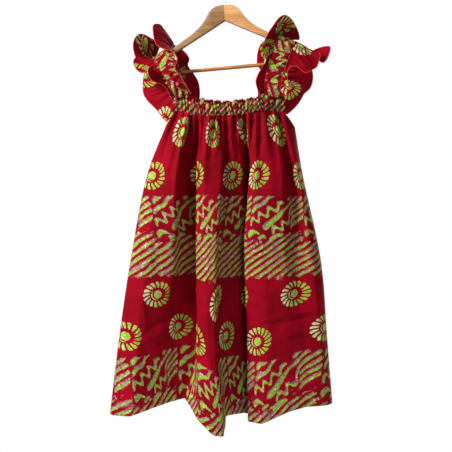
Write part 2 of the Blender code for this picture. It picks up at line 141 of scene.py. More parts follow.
def ring_faces(rings, sides):
    """Faces of a row of rings, with both ends closed."""
    faces = [tuple(range(sides - 1, -1, -1))]
    for r in range(rings - 1):
        for k in range(sides):
            a, b = r * sides + k, r * sides + (k + 1) % sides
            faces.append((a, b, b + sides, a + sides))
    faces.append(tuple((rings - 1) * sides + k for k in range(sides)))
    return faces


def beech(name, light, dark, slant):
    """Varnished beech: the eye sees a tan ground, long darker grain lines and short pore flecks, with a
    painted shade on faces turned downward.
    """
    made, tree, shader = new_material(name)
    place = add(tree, "TexCoord", out="Object")

    def streaks(length, width, **settings):
        """Unevenness drawn out along the grain, its length and width in mm."""
        scale = (1000 / length, 1000 / width, 1000 / width)
        along = add(tree, "Mapping", {0: place, "Rotation": (0, slant, 0), "Scale": scale})
        return add(tree, "TexNoise", {"Vector": along, "Scale": 1.0, **settings})

    grain = streaks(71.4, 3.85, Detail=5.0, Roughness=0.6)
    bands = streaks(200, 16.7, Detail=2.0)
    pores = streaks(3.85, 0.625, Detail=1.0)
    fleck = add(tree, "MapRange", {0: pores, 1: 0.62, 2: 0.72, 3: 0.0, 4: 0.35})
    mixed = add(tree, "Math", [grain, bands], "ADD")
    share = add(tree, "MapRange", {0: mixed, 1: 0.82, 2: 1.18, 3: 0.0, 4: 1.0})
    colour = add(tree, "MixRGB", [share, linear(dark), linear(light)])
    colour = add(tree, "MixRGB", [fleck, colour, linear("#6B4220")])
    # Painted shade: faces turned downward are darkened towards a deep brown, as if in shadow
    facing = add(tree, "NewGeometry", out="Normal")
    up = add(tree, "SeparateXYZ", [facing], out="Z")
    painted_underside_shade = add(tree, "MapRange", {0: up, 1: -0.85, 2: -0.1, 3: 0.75, 4: 0.0})
    colour = add(tree, "MixRGB", [painted_underside_shade, colour, linear("#5A3C20")])
    tree.links.new(colour, shader.inputs["Base Color"])
    bump = add(tree, "Bump", {"Strength": 0.25, "Distance": 0.4 * MM, "Height": grain})
    tree.links.new(bump, shader.inputs["Normal"])
    shader.inputs["Roughness"].default_value = 0.42
    shader.inputs["Coat Weight"].default_value = 0.25
    shader.inputs["Coat Roughness"].default_value = 0.2
    return made


def round_over(half_width, low, high, radius, corner_steps=5):
    """A board's cross-section with its four edges rounded over."""
    ring = []
    for quarter, (y, z) in enumerate([(1, 1), (-1, 1), (-1, -1), (1, -1)]):
        for step in range(corner_steps):
            turn = math.pi / 2 * (quarter + step / (corner_steps - 1))
            centre_y = y * (half_width - radius)
            centre_z = (high - radius) if z > 0 else (low + radius)
            ring.append((centre_y + radius * math.cos(turn), centre_z + radius * math.sin(turn)))
    return ring


arm_rows = np.array(ARM_ROWS) * MM
arm_stations = np.append(np.linspace(arm_rows[0, 0], arm_rows[-2, 0], ARM_RINGS), arm_rows[-1, 0])
for side, sign in (("left", -1), ("right", 1)):
    rings = []
    for out in arm_stations:
        top = smooth_between(arm_rows[:, 0], arm_rows[:, 1], out)
        bottom = smooth_between(arm_rows[:, 0], arm_rows[:, 2], out)
        radius = min(ARM_ROUNDING, (top - bottom) * 0.3)
        section = round_over(ARM_DEPTH / 2, bottom, top, radius)
        rings.append(hanger_to_world([(sign * out, y, z) for y, z in section]))
    # Each arm's material carries its painted tone: painted shade on the left arm, painted light on the
    # right
    wood = beech(f"satin_varnished_beech_{side}", *ARM_LIT_AND_SHADED_TONES[side], sign * ARM_GRAIN_SLANT)
    arm = make_piece(f"arm_{side}", rings, ring_faces(len(rings), len(section)), wood, 40)
    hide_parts(f"hanger_arm_{side}")


# --- Trouser bar ------------------------------------------------------------------------------
# A turned beech dowel, 8.4 mm thick, glued into a blind hole in each arm. Its varnish is a
# shade more orange than the arms'.

BAR_RADIUS = 4.2 * MM
BAR_DROP = 113.0 * MM  # below the crotch
BAR_SOCKET = 3.0 * MM  # how far it goes into each arm
BAR_RINGS, BAR_SIDES = 9, 28

bar_end = np.interp(BAR_DROP, -arm_rows[:, 2], arm_rows[:, 0]) + BAR_SOCKET
bar_rings = []
for x in np.linspace(-bar_end, bar_end, BAR_RINGS):
    turns = np.linspace(0, 2 * math.pi, BAR_SIDES, endpoint=False)
    ring = [(x, BAR_RADIUS * math.cos(a), BAR_RADIUS * math.sin(a) - BAR_DROP) for a in turns]
    bar_rings.append(hanger_to_world(ring))
dowel_wood = beech("satin_varnished_beech_dowel", "#CC8338", "#A25E1D", slant=0.0)
bar = make_piece("bar", bar_rings, ring_faces(BAR_RINGS, BAR_SIDES), dowel_wood, 40)
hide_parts("trouser_bar")


# --- Hook -------------------------------------------------------------------------------------
# The hook is one piece of 4.4 mm steel wire, bent round a former, nickel plated and pushed up
# through the arms' glued centre. Its tip is rounded off.

WIRE_RADIUS = 2.2 * MM
HOOK_INNER = 17.0 * MM  # inside radius of the bend
HOOK_BEND = range(-55, 206, 5)  # degrees, from the shank round to the tip
WIRE_RINGS, WIRE_SIDES = 90, 20


def nickel_plate():
    """Bright nickel on steel: a clean mirror, softened by fine drawing lines."""
    made, tree, shader = new_material("nickel_plated_steel_wire")
    place = add(tree, "TexCoord", out="Object")
    smear = add(tree, "TexNoise", {"Vector": place, "Scale": 1000 / 2.38, "Detail": 3.0})
    rough = add(tree, "MapRange", {0: smear, 1: 0.3, 2: 0.7, 3: 0.16, 4: 0.3})
    tree.links.new(rough, shader.inputs["Roughness"])
    bump = add(tree, "Bump", {"Strength": 0.1, "Distance": 0.1 * MM, "Height": smear})
    tree.links.new(bump, shader.inputs["Normal"])
    shader.inputs["Base Color"].default_value = linear("#C9C7C2")
    shader.inputs["Metallic"].default_value = 1.0
    return made


bend = HOOK_INNER + WIRE_RADIUS
foot = hanger_to_world([(0, 0, ARM_ROWS[0][1] * MM)])[0][2]
line = [(0.0, foot + up * MM) for up in (-2, 2, 6)]
line.append((1.5 * MM, -HOOK_INNER - bend - 1 * MM))
for degrees in HOOK_BEND:
    a = math.radians(degrees)
    line.append((bend * math.cos(a), bend * math.sin(a) - HOOK_INNER))
line = np.array(line)
steps = np.concatenate([[0], np.cumsum(np.linalg.norm(np.diff(line, axis=0), axis=1))])
lengths = np.linspace(0, steps[-1], WIRE_RINGS)
wire = np.stack([smooth_between(steps, line[:, k], lengths) for k in (0, 1)], axis=-1)
run = np.gradient(wire, axis=0)
run /= np.linalg.norm(run, axis=1, keepdims=True)
to_tip = np.clip((lengths[-1] - lengths) / WIRE_RADIUS, 0, 1)
rounded = np.maximum(np.sqrt(to_tip * (2 - to_tip)), 0.12)
wire_rings = []
for (x, z), (dx, dz), thin in zip(wire, run, rounded):
    turns = np.linspace(0, 2 * math.pi, WIRE_SIDES, endpoint=False)
    out, depth = WIRE_RADIUS * thin * np.cos(turns), WIRE_RADIUS * thin * np.sin(turns)
    wire_rings.append(np.stack([x + dz * out, depth, z - dx * out], axis=-1))
hook = make_piece("wire_hook", wire_rings, ring_faces(len(wire_rings), WIRE_SIDES), nickel_plate(), 50)
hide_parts("hook")


# --- Front panel ------------------------------------------------------------------------------
# One A-line piece of plain-woven cotton, wax-stamped and dyed, gathered along its top edge and
# sewn to the neck casing. It hangs in one deep centre fold and shallower ones at the sides.

CLOTH_WALL = 0.7 * MM
CASING_LEFT, CASING_RIGHT = -112.0 * MM, 134.0 * MM
CASING_SPAN = (0.055, 0.945)  # the part of a panel's top edge that the casing takes
SEAM_TOP_LEFT, SEAM_TOP_RIGHT = -141.0 * MM, 166.0 * MM
SEAM_TOP_Z_LEFT, SEAM_TOP_Z_RIGHT = -343.0 * MM, -350.0 * MM
NECK_DEPTH_END, NECK_DEPTH_FRONT, NECK_DEPTH_BACK = 14.0 * MM, 36.0 * MM, 30.0 * MM
NECK_ROWS = [
    # across, upper edge, lower edge of the casing, in mm
    (-112.0, -275.0, -308.0),
    (-80.0, -279.0, -320.0),
    (-40.0, -286.0, -323.0),
    (0.0, -290.0, -322.0),
    (40.0, -285.0, -320.0),
    (90.0, -277.0, -309.0),
    (134.0, -275.0, -312.0),
]
STATION_SHARES = (0.0, 0.19, 0.50, 0.76, 1.0)  # neck, chest, waist, thigh, hem
STATION_HEIGHTS = (-460.0, -674.0, -849.0)  # chest, waist, thigh
FRONT_FOLDS = [
    # x: chest, waist, thigh, hem    y: chest, waist, thigh, hem   hem z  share: chest, thigh
    (-186, -228, -254, -277, 0, 0, 0, 0, -1036, 0.000, 0.000),
    (-183, -225, -250, -272, -12, -12, -12, -12, -1039, 0.010, 0.010),
    (-160, -188, -209, -225, -34, -46, -52, -46, -1036, 0.050, 0.046),
    (-114, -124, -154, -174, -46, -44, -32, -28, -1019, 0.140, 0.126),
    (-104, -107, -112, -130, -16, -16, -8, -6, -1008, 0.174, 0.218),
    (-64, -64, -62, -97, 15, 12, 6, 4, -1000, 0.240, 0.272),
    (-69, -70, -68, -66, -44, -56, -63, -64, -1040, 0.272, 0.410),
    (-41, -44, -43, -29, -50, -72, -86, -96, -1070, 0.350, 0.455),
    (-9, -22, -22, -3, -52, -73, -85, -93, -1074, 0.424, 0.506),
    (-6, -15, -15, 1, -24, -28, -30, -24, -1038, 0.452, 0.560),
    (40, 32, 34, 44, -20, -22, -22, -14, -1033, 0.560, 0.672),
    (58, 52, 58, 59, 14, 10, 2, -4, -1037, 0.600, 0.718),
    (55, 43, 49, 51, -38, -38, -36, -34, -1049, 0.684, 0.750),
    (82, 86, 95, 86, -44, -52, -56, -56, -1052, 0.760, 0.815),
    (134, 140, 150, 146, -42, -48, -50, -46, -1026, 0.846, 0.887),
    (154, 168, 186, 190, -14, -26, -40, -38, -1014, 0.900, 0.930),
    (172, 208, 228, 238, -24, -30, -38, -34, -1012, 0.956, 0.966),
    (181, 226, 240, 252, -12, -12, -12, -12, -1012, 0.990, 0.990),
    (184, 229, 243, 256, 0, 0, 0, 0, -1012, 1.000, 1.000),
]
PANEL_LENGTH = 0.70  # neck to hem, with the hem turned up
FRONT_WIDTHS = (0.55, 0.60, 0.69, 0.749, 0.814)  # of the flat cloth at the stations
FRONT_COLUMNS = 270
FRONT_LEVELS = 150
FOLD_ROUNDING = 6  # passes, for columns this fine
PANEL_GATHERS = 16
PANEL_RIPPLE = 3.4 * MM
GATHER_FADE = 0.17  # share of the length in which the small gathers run out
SEAM_CALM = 0.05  # share of the width beside a side seam where the gathers flatten out
SAG_START = 0.45  # share of the length below which the print follows the hem's dips
SAG_SHARE = 0.85  # of a dip that the print follows
SAG_SPARE = 0.5  # of the sag that is cloth cut longer below the thigh
FRONT_GATHERS = [
    # share at the neck and at the lower end, half width, height in mm (minus is a valley), length
    (0.058, 0.050, 0.020, -13, 0.27),
    (0.096, 0.090, 0.012, 5, 0.22),
    (0.135, 0.150, 0.014, 8, 0.30),
    (0.169, 0.236, 0.016, -13, 0.42),
    (0.192, 0.225, 0.010, 4, 0.12),
    (0.215, 0.236, 0.010, -7, 0.16),
    (0.242, 0.275, 0.014, 7, 0.35),
    (0.275, 0.290, 0.010, -6, 0.12),
    (0.317, 0.330, 0.018, 7, 0.45),
    (0.369, 0.368, 0.009, -10, 0.13),
    (0.394, 0.394, 0.010, 6, 0.12),
    (0.421, 0.424, 0.009, -11, 0.15),
    (0.440, 0.440, 0.010, 7, 0.16),
    (0.458, 0.452, 0.012, -10, 0.45),
    (0.500, 0.500, 0.018, 7, 0.22),
    (0.530, 0.520, 0.009, -7, 0.13),
    (0.556, 0.545, 0.012, 7, 0.13),
    (0.580, 0.560, 0.010, -7, 0.14),
    (0.621, 0.598, 0.014, -13, 0.42),
    (0.656, 0.650, 0.014, 8, 0.38),
    (0.694, 0.690, 0.010, -7, 0.20),
    (0.725, 0.730, 0.014, 7, 0.40),
    (0.762, 0.765, 0.011, -7, 0.26),
    (0.795, 0.800, 0.014, 6, 0.32),
    (0.830, 0.836, 0.010, -8, 0.18),
    (0.862, 0.862, 0.012, 6, 0.25),
    (0.897, 0.897, 0.012, -10, 0.45),
    (0.935, 0.935, 0.012, 4, 0.20),
]
FRONT_CREASES = [
    # from x, z to x, z, half width, height of the ridge (minus is a trough), in mm
    (50, -834, 150, -812, 4, -3.5),
    (138, -815, 238, -800, 4, -3.2),
    (60, -824, 230, -792, 8, 2.4),
    (140, -858, 202, -852, 5, -3.2),
    (-192, -838, -120, -806, 5, -2.7),
    (-203, -740, -190, -840, 5, 2.2),
    (-245, -760, -205, -748, 5, 2.4),
    (-240, -775, -200, -770, 5, -2.6),
    (-190, -740, -150, -775, 6, 2.2),
    (-185, -700, -120, -760, 8, -2.6),
    (-200, -860, -140, -842, 6, 2.2),
    (-170, -880, -110, -850, 6, -2.2),
    (30, -360, 75, -415, 6, 2.9),
    (5, -355, 48, -430, 6, -2.9),
    (-20, -350, 20, -400, 6, 2.2),
    (95, -350, 70, -470, 7, 2.6),
    (-120, -370, -150, -470, 8, 2.6),
    (-95, -350, -105, -450, 6, -2.9),
    (120, -370, 150, -460, 7, -2.6),
    (70, -500, 110, -540, 8, 1.9),
    (-60, -480, -20, -520, 8, 1.9),
    (100, -620, 160, -600, 8, 1.9),
    (-180, -600, -130, -620, 9, -1.9),
    (90, -940, 160, -925, 8, 2.1),
    (-220, -950, -160, -940, 8, 1.9),
]
FRONT_CRUMPLES = [(70, 2.4, 3.0), (24, 1.4, 8.0), (11, 0.55, 9.0)]  # size and height in mm, seed


def neck_edge(x, which):
    """Height of the casing's upper (1) or lower (2) edge at x."""
    rows = np.array(NECK_ROWS) * MM
    return smooth_between(rows[:, 0], rows[:, which], x)


def neck_depth(x, side):
    """How far the casing stands forward (side -1) or back (side 1) at x."""
    middle, half = (CASING_LEFT + CASING_RIGHT) / 2, (CASING_RIGHT - CASING_LEFT) / 2
    away = np.clip(np.abs(x - middle) / half, 0, 1)
    full = NECK_DEPTH_FRONT if side < 0 else NECK_DEPTH_BACK
    return side * (full - (full - NECK_DEPTH_END) * away**2.5)


def top_edge(shares, side):
    """The top edge of a panel for shares of its width: armhole, neck, armhole."""
    corners = (SEAM_TOP_LEFT, CASING_LEFT, CASING_RIGHT, SEAM_TOP_RIGHT)
    x = np.interp(shares, (0, *CASING_SPAN, 1), corners)
    z = neck_edge(np.clip(x, CASING_LEFT, CASING_RIGHT), 2)
    y = neck_depth(x, side)
    for end, corner, seam_x, seam_z in (
        (shares < CASING_SPAN[0], CASING_LEFT, SEAM_TOP_LEFT, SEAM_TOP_Z_LEFT),
        (shares > CASING_SPAN[1], CASING_RIGHT, SEAM_TOP_RIGHT, SEAM_TOP_Z_RIGHT),
    ):
        out = np.clip((x - corner) / (seam_x - corner), 0, 1)
        z = np.where(end, neck_edge(corner, 2) + (seam_z - neck_edge(corner, 2)) * out**1.3, z)
        y = np.where(end, side * NECK_DEPTH_END * np.sqrt(1 - out**2), y)
    return np.stack([x, y, z], axis=-1)


def gather_wave(turns):
    """An uneven ripple between -1 and 1; turns counts the gathers."""
    return np.sin(2 * math.pi * (turns + 0.11 * np.sin(turns * 2.3) + 0.07 * np.sin(turns * 5.1)))


def grid_normals(grid):
    """The direction square to the cloth at each point of a grid."""
    normal = np.cross(np.gradient(grid, axis=0), np.gradient(grid, axis=1))
    return normal / np.maximum(np.linalg.norm(normal, axis=2, keepdims=True), 1e-12)


def round_folds(grid, passes):
    """Rounds the folds of a grid along its columns and leaves both ends where they are."""
    for _ in range(passes):
        inner = (grid[:, :-2] + 2 * grid[:, 1:-1] + grid[:, 2:]) / 4
        grid = np.concatenate([grid[:, :1], inner, grid[:, -1:]], axis=1)
    return grid


def gather_heights(chest_shares, places, gathers):
    """Height of listed gathers, which start under the casing and run out down the cloth."""
    places = places[:, None]
    heights = np.zeros((len(places), len(chest_shares)))
    for start, end, half, height, length in gathers:
        along = np.clip(places / length, 0, 1)
        away = (chest_shares - start - (end - start) * along) / (half * (1 + 0.7 * along))
        fade = np.sqrt(np.clip(places / 0.02, 0, 1)) * (1 - along) ** 0.8
        heights += height * MM * fade * np.exp(-(away**2))
    return heights


def crumple(grid, size, height, seed):
    """Soft unevenness of cloth that has been worn and folded: a smooth noise of this size."""
    points = grid.reshape(-1, 3) / size + seed
    values = [noise.noise(Vector(point)) for point in points]
    return height * np.array(values).reshape(grid.shape[:2])


def crease_heights(grid, creases):
    """Height of listed soft ridges and troughs, each along a line seen from the front."""
    heights = np.zeros(grid.shape[:2])
    x, z = grid[..., 0] / MM, grid[..., 2] / MM
    for x0, z0, x1, z1, half, height in creases:
        dx, dz = x1 - x0, z1 - z0
        length = math.hypot(dx, dz)
        along = ((x - x0) * dx + (z - z0) * dz) / length**2
        bow = 0.06 * length * np.sin(math.pi * np.clip(along, 0, 1))
        away = ((x - x0) * dz - (z - z0) * dx) / length + bow
        fade = np.sin(math.pi * np.clip(along, 0, 1)) ** 0.7
        heights += height * MM * fade * np.exp(-((away / half) ** 2))
    return heights


def cloth_shell(name, outer, cloth_place, material, wall=CLOTH_WALL, normal=None):
    """Closes a grid of points into a thin wall; its UV map holds the place on the flat cloth in m."""
    rows, columns = outer.shape[:2]
    count = rows * columns
    normal = grid_normals(outer) if normal is None else normal
    points = np.concatenate([outer.reshape(-1, 3), (outer - normal * wall).reshape(-1, 3)])
    index = np.arange(count).reshape(rows, columns)
    a, b, c, d = index[:-1, :-1], index[:-1, 1:], index[1:, 1:], index[1:, :-1]
    front = np.stack([a, d, c, b], axis=-1).reshape(-1, 4)
    back = np.stack([a, b, c, d], axis=-1).reshape(-1, 4) + count
    rim = np.concatenate([index[0, :-1], index[:-1, -1], index[-1, :0:-1], index[:0:-1, 0]])
    after = np.roll(rim, -1)
    side = np.stack([rim, after, after + count, rim + count], axis=-1)
    faces = np.concatenate([front, back, side])
    item = make_piece(name, points, faces.tolist(), material, 75)
    layer = item.data.uv_layers.new(name="cloth")
    places = np.concatenate([cloth_place.reshape(-1, 2)] * 2)
    corners = np.zeros(len(item.data.loops), dtype=np.int64)
    item.data.loops.foreach_get("vertex_index", corners)
    layer.data.foreach_set("uv", places[corners].ravel().astype(np.float32))
    return item


# The wax print, in mm of flat cloth: bands of stamped slanting stripes with brushed strokes over
# them, and two rows of rosettes between the bands. Each repeat is half a stamp across from the last.
STAMP = 144.0
REPEAT = 387.0
FIRST_BAND = 187.0
BAND_DEEP = 200.0
STRIPE_SLOPE = math.radians(38)
STRIPE_PITCH = 15.0
STRIPE_HALF = 0.28  # half width as a share of the pitch
DYE_STEP = 2.5  # how far the lime dye lies right of the wax and below it
BAND_MARGIN = 3.0  # left plain on each side of the line between a band and its rosettes
BROAD_WAVER, FINE_WAVER = 9.0, 2.6  # how far the wax strays from the stamp, slowly and by threads
STRIPE_RAG = 0.4  # how unevenly a stripe swells, as a share of the pitch
START_RAG, BRUSH_RAG, HEAD_RAG, FOOT_RAG = 60.0, 5.0, 22.0, 34.0  # of the other ragged edges
ROSETTE_ROWS = (244.0, 340.0)  # below the top of the band
PETALS = 17
PETAL_TURN = 0.028  # how far a petal turns for each mm outward, in petals
PETAL_SHAPE = [
    # radius in mm, half width as a share of the pitch
    (0, -0.5), (16.0, -0.5), (17.8, 0.12), (21, 0.26), (27, 0.325),
    (30.5, 0.335), (33, 0.1), (34.5, -0.5), (40, -0.5),
]
CENTRE_RADIUS, CENTRE_SQUASH = 8.8, 0.84
CRESCENT_RADIUS, CRESCENT_HALF = 13.6, 1.5
CRESCENT_FACES = 2.7  # radians
BRUSH_REACH = (-80.0, 120.0)
BRUSH_SPREAD, BRUSH_GAP = 0.8, -1.5  # how far the wax ran beyond the brush; half width of a gap
BRUSH_ROWS = [
    # strokes one behind the other along the slant: (along, off it, half width), in mm from the
    # stamp's upper left corner, with a half width of 0 between two strokes
    [(-12, 17, 0), (-4, 15, 3.5), (8, 13, 5), (22, 15, 4), (34, 12, 3.5), (42, 11, 0)],
    [
        (-30, 36, 0), (-18, 34, 4), (-4, 31, 5), (10, 35, 4), (24, 31, 3.5), (40, 29, 5),
        (54, 32, 3), (60, 33, 0),
    ],
    [
        (-42, 60, 0), (-36, 58, 5), (-26, 49, 5), (-15, 66, 5.5), (-4, 50, 5.5), (7, 67, 5),
        (18, 52, 5), (29, 67, 5), (40, 56, 4.5), (50, 59, 3.5), (56, 61, 0),
        (62, 62, 0), (68, 62, 2.8), (84, 62, 2.8), (90, 62, 0),
    ],
    [
        (-58, 86, 0), (-52, 81, 5), (-43, 78, 6.5), (-34, 84, 5), (-28, 93, 3), (-24, 97, 0),
        (-18, 92, 0), (-12, 90, 5), (0, 88, 7), (16, 85, 7), (34, 80, 5.5), (52, 75, 3),
        (92, 75, 3), (98, 75, 0),
    ],
    [
        (-40, 104, 0), (-34, 103, 3.5), (-22, 104, 3.5), (-16, 106, 0),
        (-8, 112, 0), (0, 110, 4.5), (9, 102, 5), (19, 117, 5), (29, 102, 5), (40, 115, 4.5),
        (50, 104, 4), (60, 92, 3), (70, 88, 3.2), (106, 88, 3.2), (112, 88, 0),
    ],
    [
        (-24, 124, 0), (-14, 122, 4.5), (0, 123, 5), (12, 128, 4), (22, 130, 0),
        (52, 106, 0), (60, 103, 3), (74, 101, 3.2), (100, 101, 3.2), (106, 101, 0),
    ],
    [(44, 120, 0), (54, 116, 3), (66, 114, 3.2), (92, 114, 3.2), (98, 114, 0)],
    [(36, 133, 0), (46, 129, 3), (60, 127, 3.2), (84, 127, 3.2), (92, 127, 0)],
]
STRIPES_START = [(0, 104), (24, 112), (52, 104), (84, 96), (112, 90), (144, 88)]  # across, down
WEAVE_DRAWN = 1.309  # mm from thread to thread
WAVE_REPEAT = math.pi / 10  # of Blender's wave texture at a scale of 1


def drawn_line(tree, along, low, high, points):
    """A line drawn through (place, value) points: its value at each place along it."""
    values = [value for _, value in points]
    floor, top = min(values), max(values)
    share = add(tree, "MapRange", {0: along, 1: low, 2: high, 3: 0.0, 4: 1.0})
    shape = add(tree, "FloatCurve", {"Value": share})
    points = [(low, points[0][1]), *points, (high, points[-1][1])]
    points = [point for k, point in enumerate(points) if k == 0 or point[0] > points[k - 1][0]]
    curve = shape.node.mapping.curves[0]
    for k, (place, value) in enumerate(points):
        spot = ((place - low) / (high - low), (value - floor) / (top - floor))
        if k < 2:
            curve.points[k].location = spot
        else:
            curve.points.new(*spot)
    for point in curve.points:
        point.handle_type = "AUTO_CLAMPED"
    shape.node.mapping.update()
    return add(tree, "MapRange", {0: shape, 1: 0.0, 2: 1.0, 3: floor, 4: top}, clamp=False)


def batik_cotton():
    """Wax-resist cotton: the eye sees a deep dyed red, lime and cream where the wax kept the dye
    off, mauve where a second dye crept under it, fine cracks, and a matt plain weave."""
    made, tree, shader = new_material("wax_resist_batik_cotton")
    cloth = add(tree, "UVMap", uv_map="cloth")
    place = add(tree, "VectorMath", {0: cloth, "Scale": 1000.0}, "SCALE")  # in mm

    # The wax spread unevenly over 45 mm and along single threads, so the stamp's edges waver
    broad = add(tree, "TexNoise", {"Vector": place, "Scale": 1 / 45.5, "Detail": 1.0}, out="Color")
    broad = add(tree, "VectorMath", [broad, (0.5, 0.5, 0.5)], "SUBTRACT")
    broad = add(tree, "VectorMath", {0: broad, "Scale": BROAD_WAVER}, "SCALE")
    fine = add(tree, "TexNoise", {"Vector": place, "Scale": 1 / 4.55, "Detail": 2.0}, out="Color")
    fine = add(tree, "VectorMath", [fine, (0.5, 0.5, 0.5)], "SUBTRACT")
    fine = add(tree, "VectorMath", {0: fine, "Scale": FINE_WAVER}, "SCALE")
    spread = add(tree, "VectorMath", [place, fine], "ADD")
    waver = add(tree, "VectorMath", [spread, broad], "ADD")
    rag = add(tree, "TexNoise", {"Vector": place, "Scale": 1 / 14.3, "Detail": 4.0, "Roughness": 0.65})
    ragged = add(tree, "Math", [rag, 0.5], "SUBTRACT")

    def in_repeat(across, down):
        """The place within its repeat, each repeat half a stamp across from the last."""
        below = add(tree, "Math", [down, FIRST_BAND], "SUBTRACT")
        count = add(tree, "Math", [below, REPEAT], "DIVIDE")
        count = add(tree, "Math", [count], "FLOOR")
        deep = add(tree, "Math", [count, -REPEAT, below], "MULTIPLY_ADD")
        return add(tree, "Math", [count, STAMP / 2, across], "MULTIPLY_ADD"), deep

    # Rosettes: petals that curve like a wheel's vanes, an oval centre and a crescent beside it
    still_u = add(tree, "SeparateXYZ", [spread], out="X")
    still_v = add(tree, "SeparateXYZ", [spread], out="Y")
    across, deep = in_repeat(still_u, still_v)
    second = add(tree, "Math", [deep, sum(ROSETTE_ROWS) / 2], "GREATER_THAN")
    x = add(tree, "Math", [second, STAMP / 2, across], "MULTIPLY_ADD")
    x = add(tree, "Math", [x, STAMP / 2, -STAMP / 2], "WRAP")
    first, gap = ROSETTE_ROWS[0], ROSETTE_ROWS[1] - ROSETTE_ROWS[0]
    drop = add(tree, "Math", [second, -gap, -first], "MULTIPLY_ADD")
    y = add(tree, "Math", [deep, drop], "ADD")
    spot = add(tree, "CombineXYZ", [x, y, 0.0])
    radius = add(tree, "VectorMath", [spot], "LENGTH", out="Value")
    angle = add(tree, "Math", [y, x], "ARCTAN2")
    turn = add(tree, "Math", [angle, PETALS / (2 * math.pi), 0.5], "MULTIPLY_ADD")
    turn = add(tree, "Math", [radius, PETAL_TURN, turn], "MULTIPLY_ADD")
    turn = add(tree, "Math", [turn, 0.5], "PINGPONG")
    petal = drawn_line(tree, radius, 0.0, 40.0, PETAL_SHAPE)
    inside = add(tree, "Math", [petal, turn], "SUBTRACT")
    pitch = add(tree, "Math", [radius, 2 * math.pi / PETALS], "MULTIPLY")
    petal_edge = add(tree, "Math", [inside, pitch], "MULTIPLY")
    oval = add(tree, "VectorMath", [spot, (1.0, CENTRE_SQUASH, 1.0)], "MULTIPLY")
    oval = add(tree, "VectorMath", [oval], "LENGTH", out="Value")
    centre_edge = add(tree, "Math", [CENTRE_RADIUS, oval], "SUBTRACT")
    ring = add(tree, "Math", [radius, CRESCENT_RADIUS], "SUBTRACT")
    ring = add(tree, "Math", [ring], "ABSOLUTE")
    facing = add(tree, "Math", [angle, CRESCENT_FACES], "SUBTRACT")
    facing = add(tree, "Math", [facing], "COSINE")
    crescent = add(tree, "Math", [facing, 2.4, -0.6], "MULTIPLY_ADD")
    crescent = add(tree, "Math", [crescent, CRESCENT_HALF], "MINIMUM")
    crescent = add(tree, "Math", [crescent, ring], "SUBTRACT")
    rosette = add(tree, "Math", [petal_edge, centre_edge], "MAXIMUM")
    rosette = add(tree, "Math", [rosette, crescent], "MAXIMUM")
    below_band = add(tree, "Math", [deep, BAND_DEEP + BAND_MARGIN], "SUBTRACT")
    rosette = add(tree, "Math", [rosette, below_band], "MINIMUM")

    def band_edge(u, v):
        """How far inside a stripe or stroke of the band, in mm, and how deep below its top.
        Each stamp is a little out of step with its neighbour."""
        across, deep = in_repeat(u, v)
        stamp = add(tree, "Math", [across, STAMP], "DIVIDE")
        stamp = add(tree, "Math", [stamp], "FLOOR")
        local = add(tree, "Math", [stamp, -STAMP, across], "MULTIPLY_ADD")
        slant = add(tree, "Math", [deep, math.cos(STRIPE_SLOPE)], "MULTIPLY")
        off = add(tree, "Math", [local, math.sin(STRIPE_SLOPE), slant], "MULTIPLY_ADD")
        slant = add(tree, "Math", [deep, -math.sin(STRIPE_SLOPE)], "MULTIPLY")
        along = add(tree, "Math", [local, math.cos(STRIPE_SLOPE), slant], "MULTIPLY_ADD")
        step = add(tree, "TexWhiteNoise", {"W": stamp}, noise_dimensions="1D")
        phase = add(tree, "Math", [off, 1 / STRIPE_PITCH, step], "MULTIPLY_ADD")
        phase = add(tree, "Math", [phase, 0.5], "ADD")
        phase = add(tree, "Math", [phase, 0.5], "PINGPONG")
        width = add(tree, "Math", [ragged, STRIPE_RAG, STRIPE_HALF], "MULTIPLY_ADD")
        stripe = add(tree, "Math", [width, phase], "SUBTRACT")
        stripe = add(tree, "Math", [stripe, STRIPE_PITCH], "MULTIPLY")
        top = drawn_line(tree, local, 0.0, STAMP, STRIPES_START)
        top = add(tree, "Math", [ragged, START_RAG, top], "MULTIPLY_ADD")
        head = add(tree, "Math", [deep, top], "SUBTRACT")
        band = add(tree, "Math", [stripe, head], "MINIMUM")
        for row in BRUSH_ROWS:
            middles = [(place, middle) for place, middle, _ in row]
            halves = [(place, half + BRUSH_SPREAD if half else BRUSH_GAP) for place, _, half in row]
            middle = drawn_line(tree, along, *BRUSH_REACH, middles)
            half = drawn_line(tree, along, *BRUSH_REACH, halves)
            half = add(tree, "Math", [ragged, BRUSH_RAG, half], "MULTIPLY_ADD")
            away = add(tree, "Math", [off, middle], "SUBTRACT")
            away = add(tree, "Math", [away], "ABSOLUTE")
            edge = add(tree, "Math", [half, away], "SUBTRACT")
            band = add(tree, "Math", [band, edge], "MAXIMUM")
        foot_edge = add(tree, "Math", [ragged, FOOT_RAG, BAND_DEEP - BAND_MARGIN], "MULTIPLY_ADD")
        foot_edge = add(tree, "Math", [foot_edge, deep], "SUBTRACT")
        band = add(tree, "Math", [band, foot_edge], "MINIMUM")
        head_edge = add(tree, "Math", [ragged, HEAD_RAG, deep], "MULTIPLY_ADD")
        return add(tree, "Math", [band, head_edge], "MINIMUM"), deep

    u = add(tree, "SeparateXYZ", [waver], out="X")
    v = add(tree, "SeparateXYZ", [waver], out="Y")
    band, deep = band_edge(u, v)
    dyed_u = add(tree, "Math", [u, DYE_STEP], "SUBTRACT")
    dyed_v = add(tree, "Math", [v, DYE_STEP], "SUBTRACT")
    dyed, _ = band_edge(dyed_u, dyed_v)
    in_band = add(tree, "Math", [deep, BAND_DEEP], "LESS_THAN")
    waxed = add(tree, "Math", [rosette, band], "MAXIMUM")
    waxed_share = add(tree, "MapRange", {0: waxed, 1: 0.0, 2: 0.6, 3: 0.0, 4: 1.0})

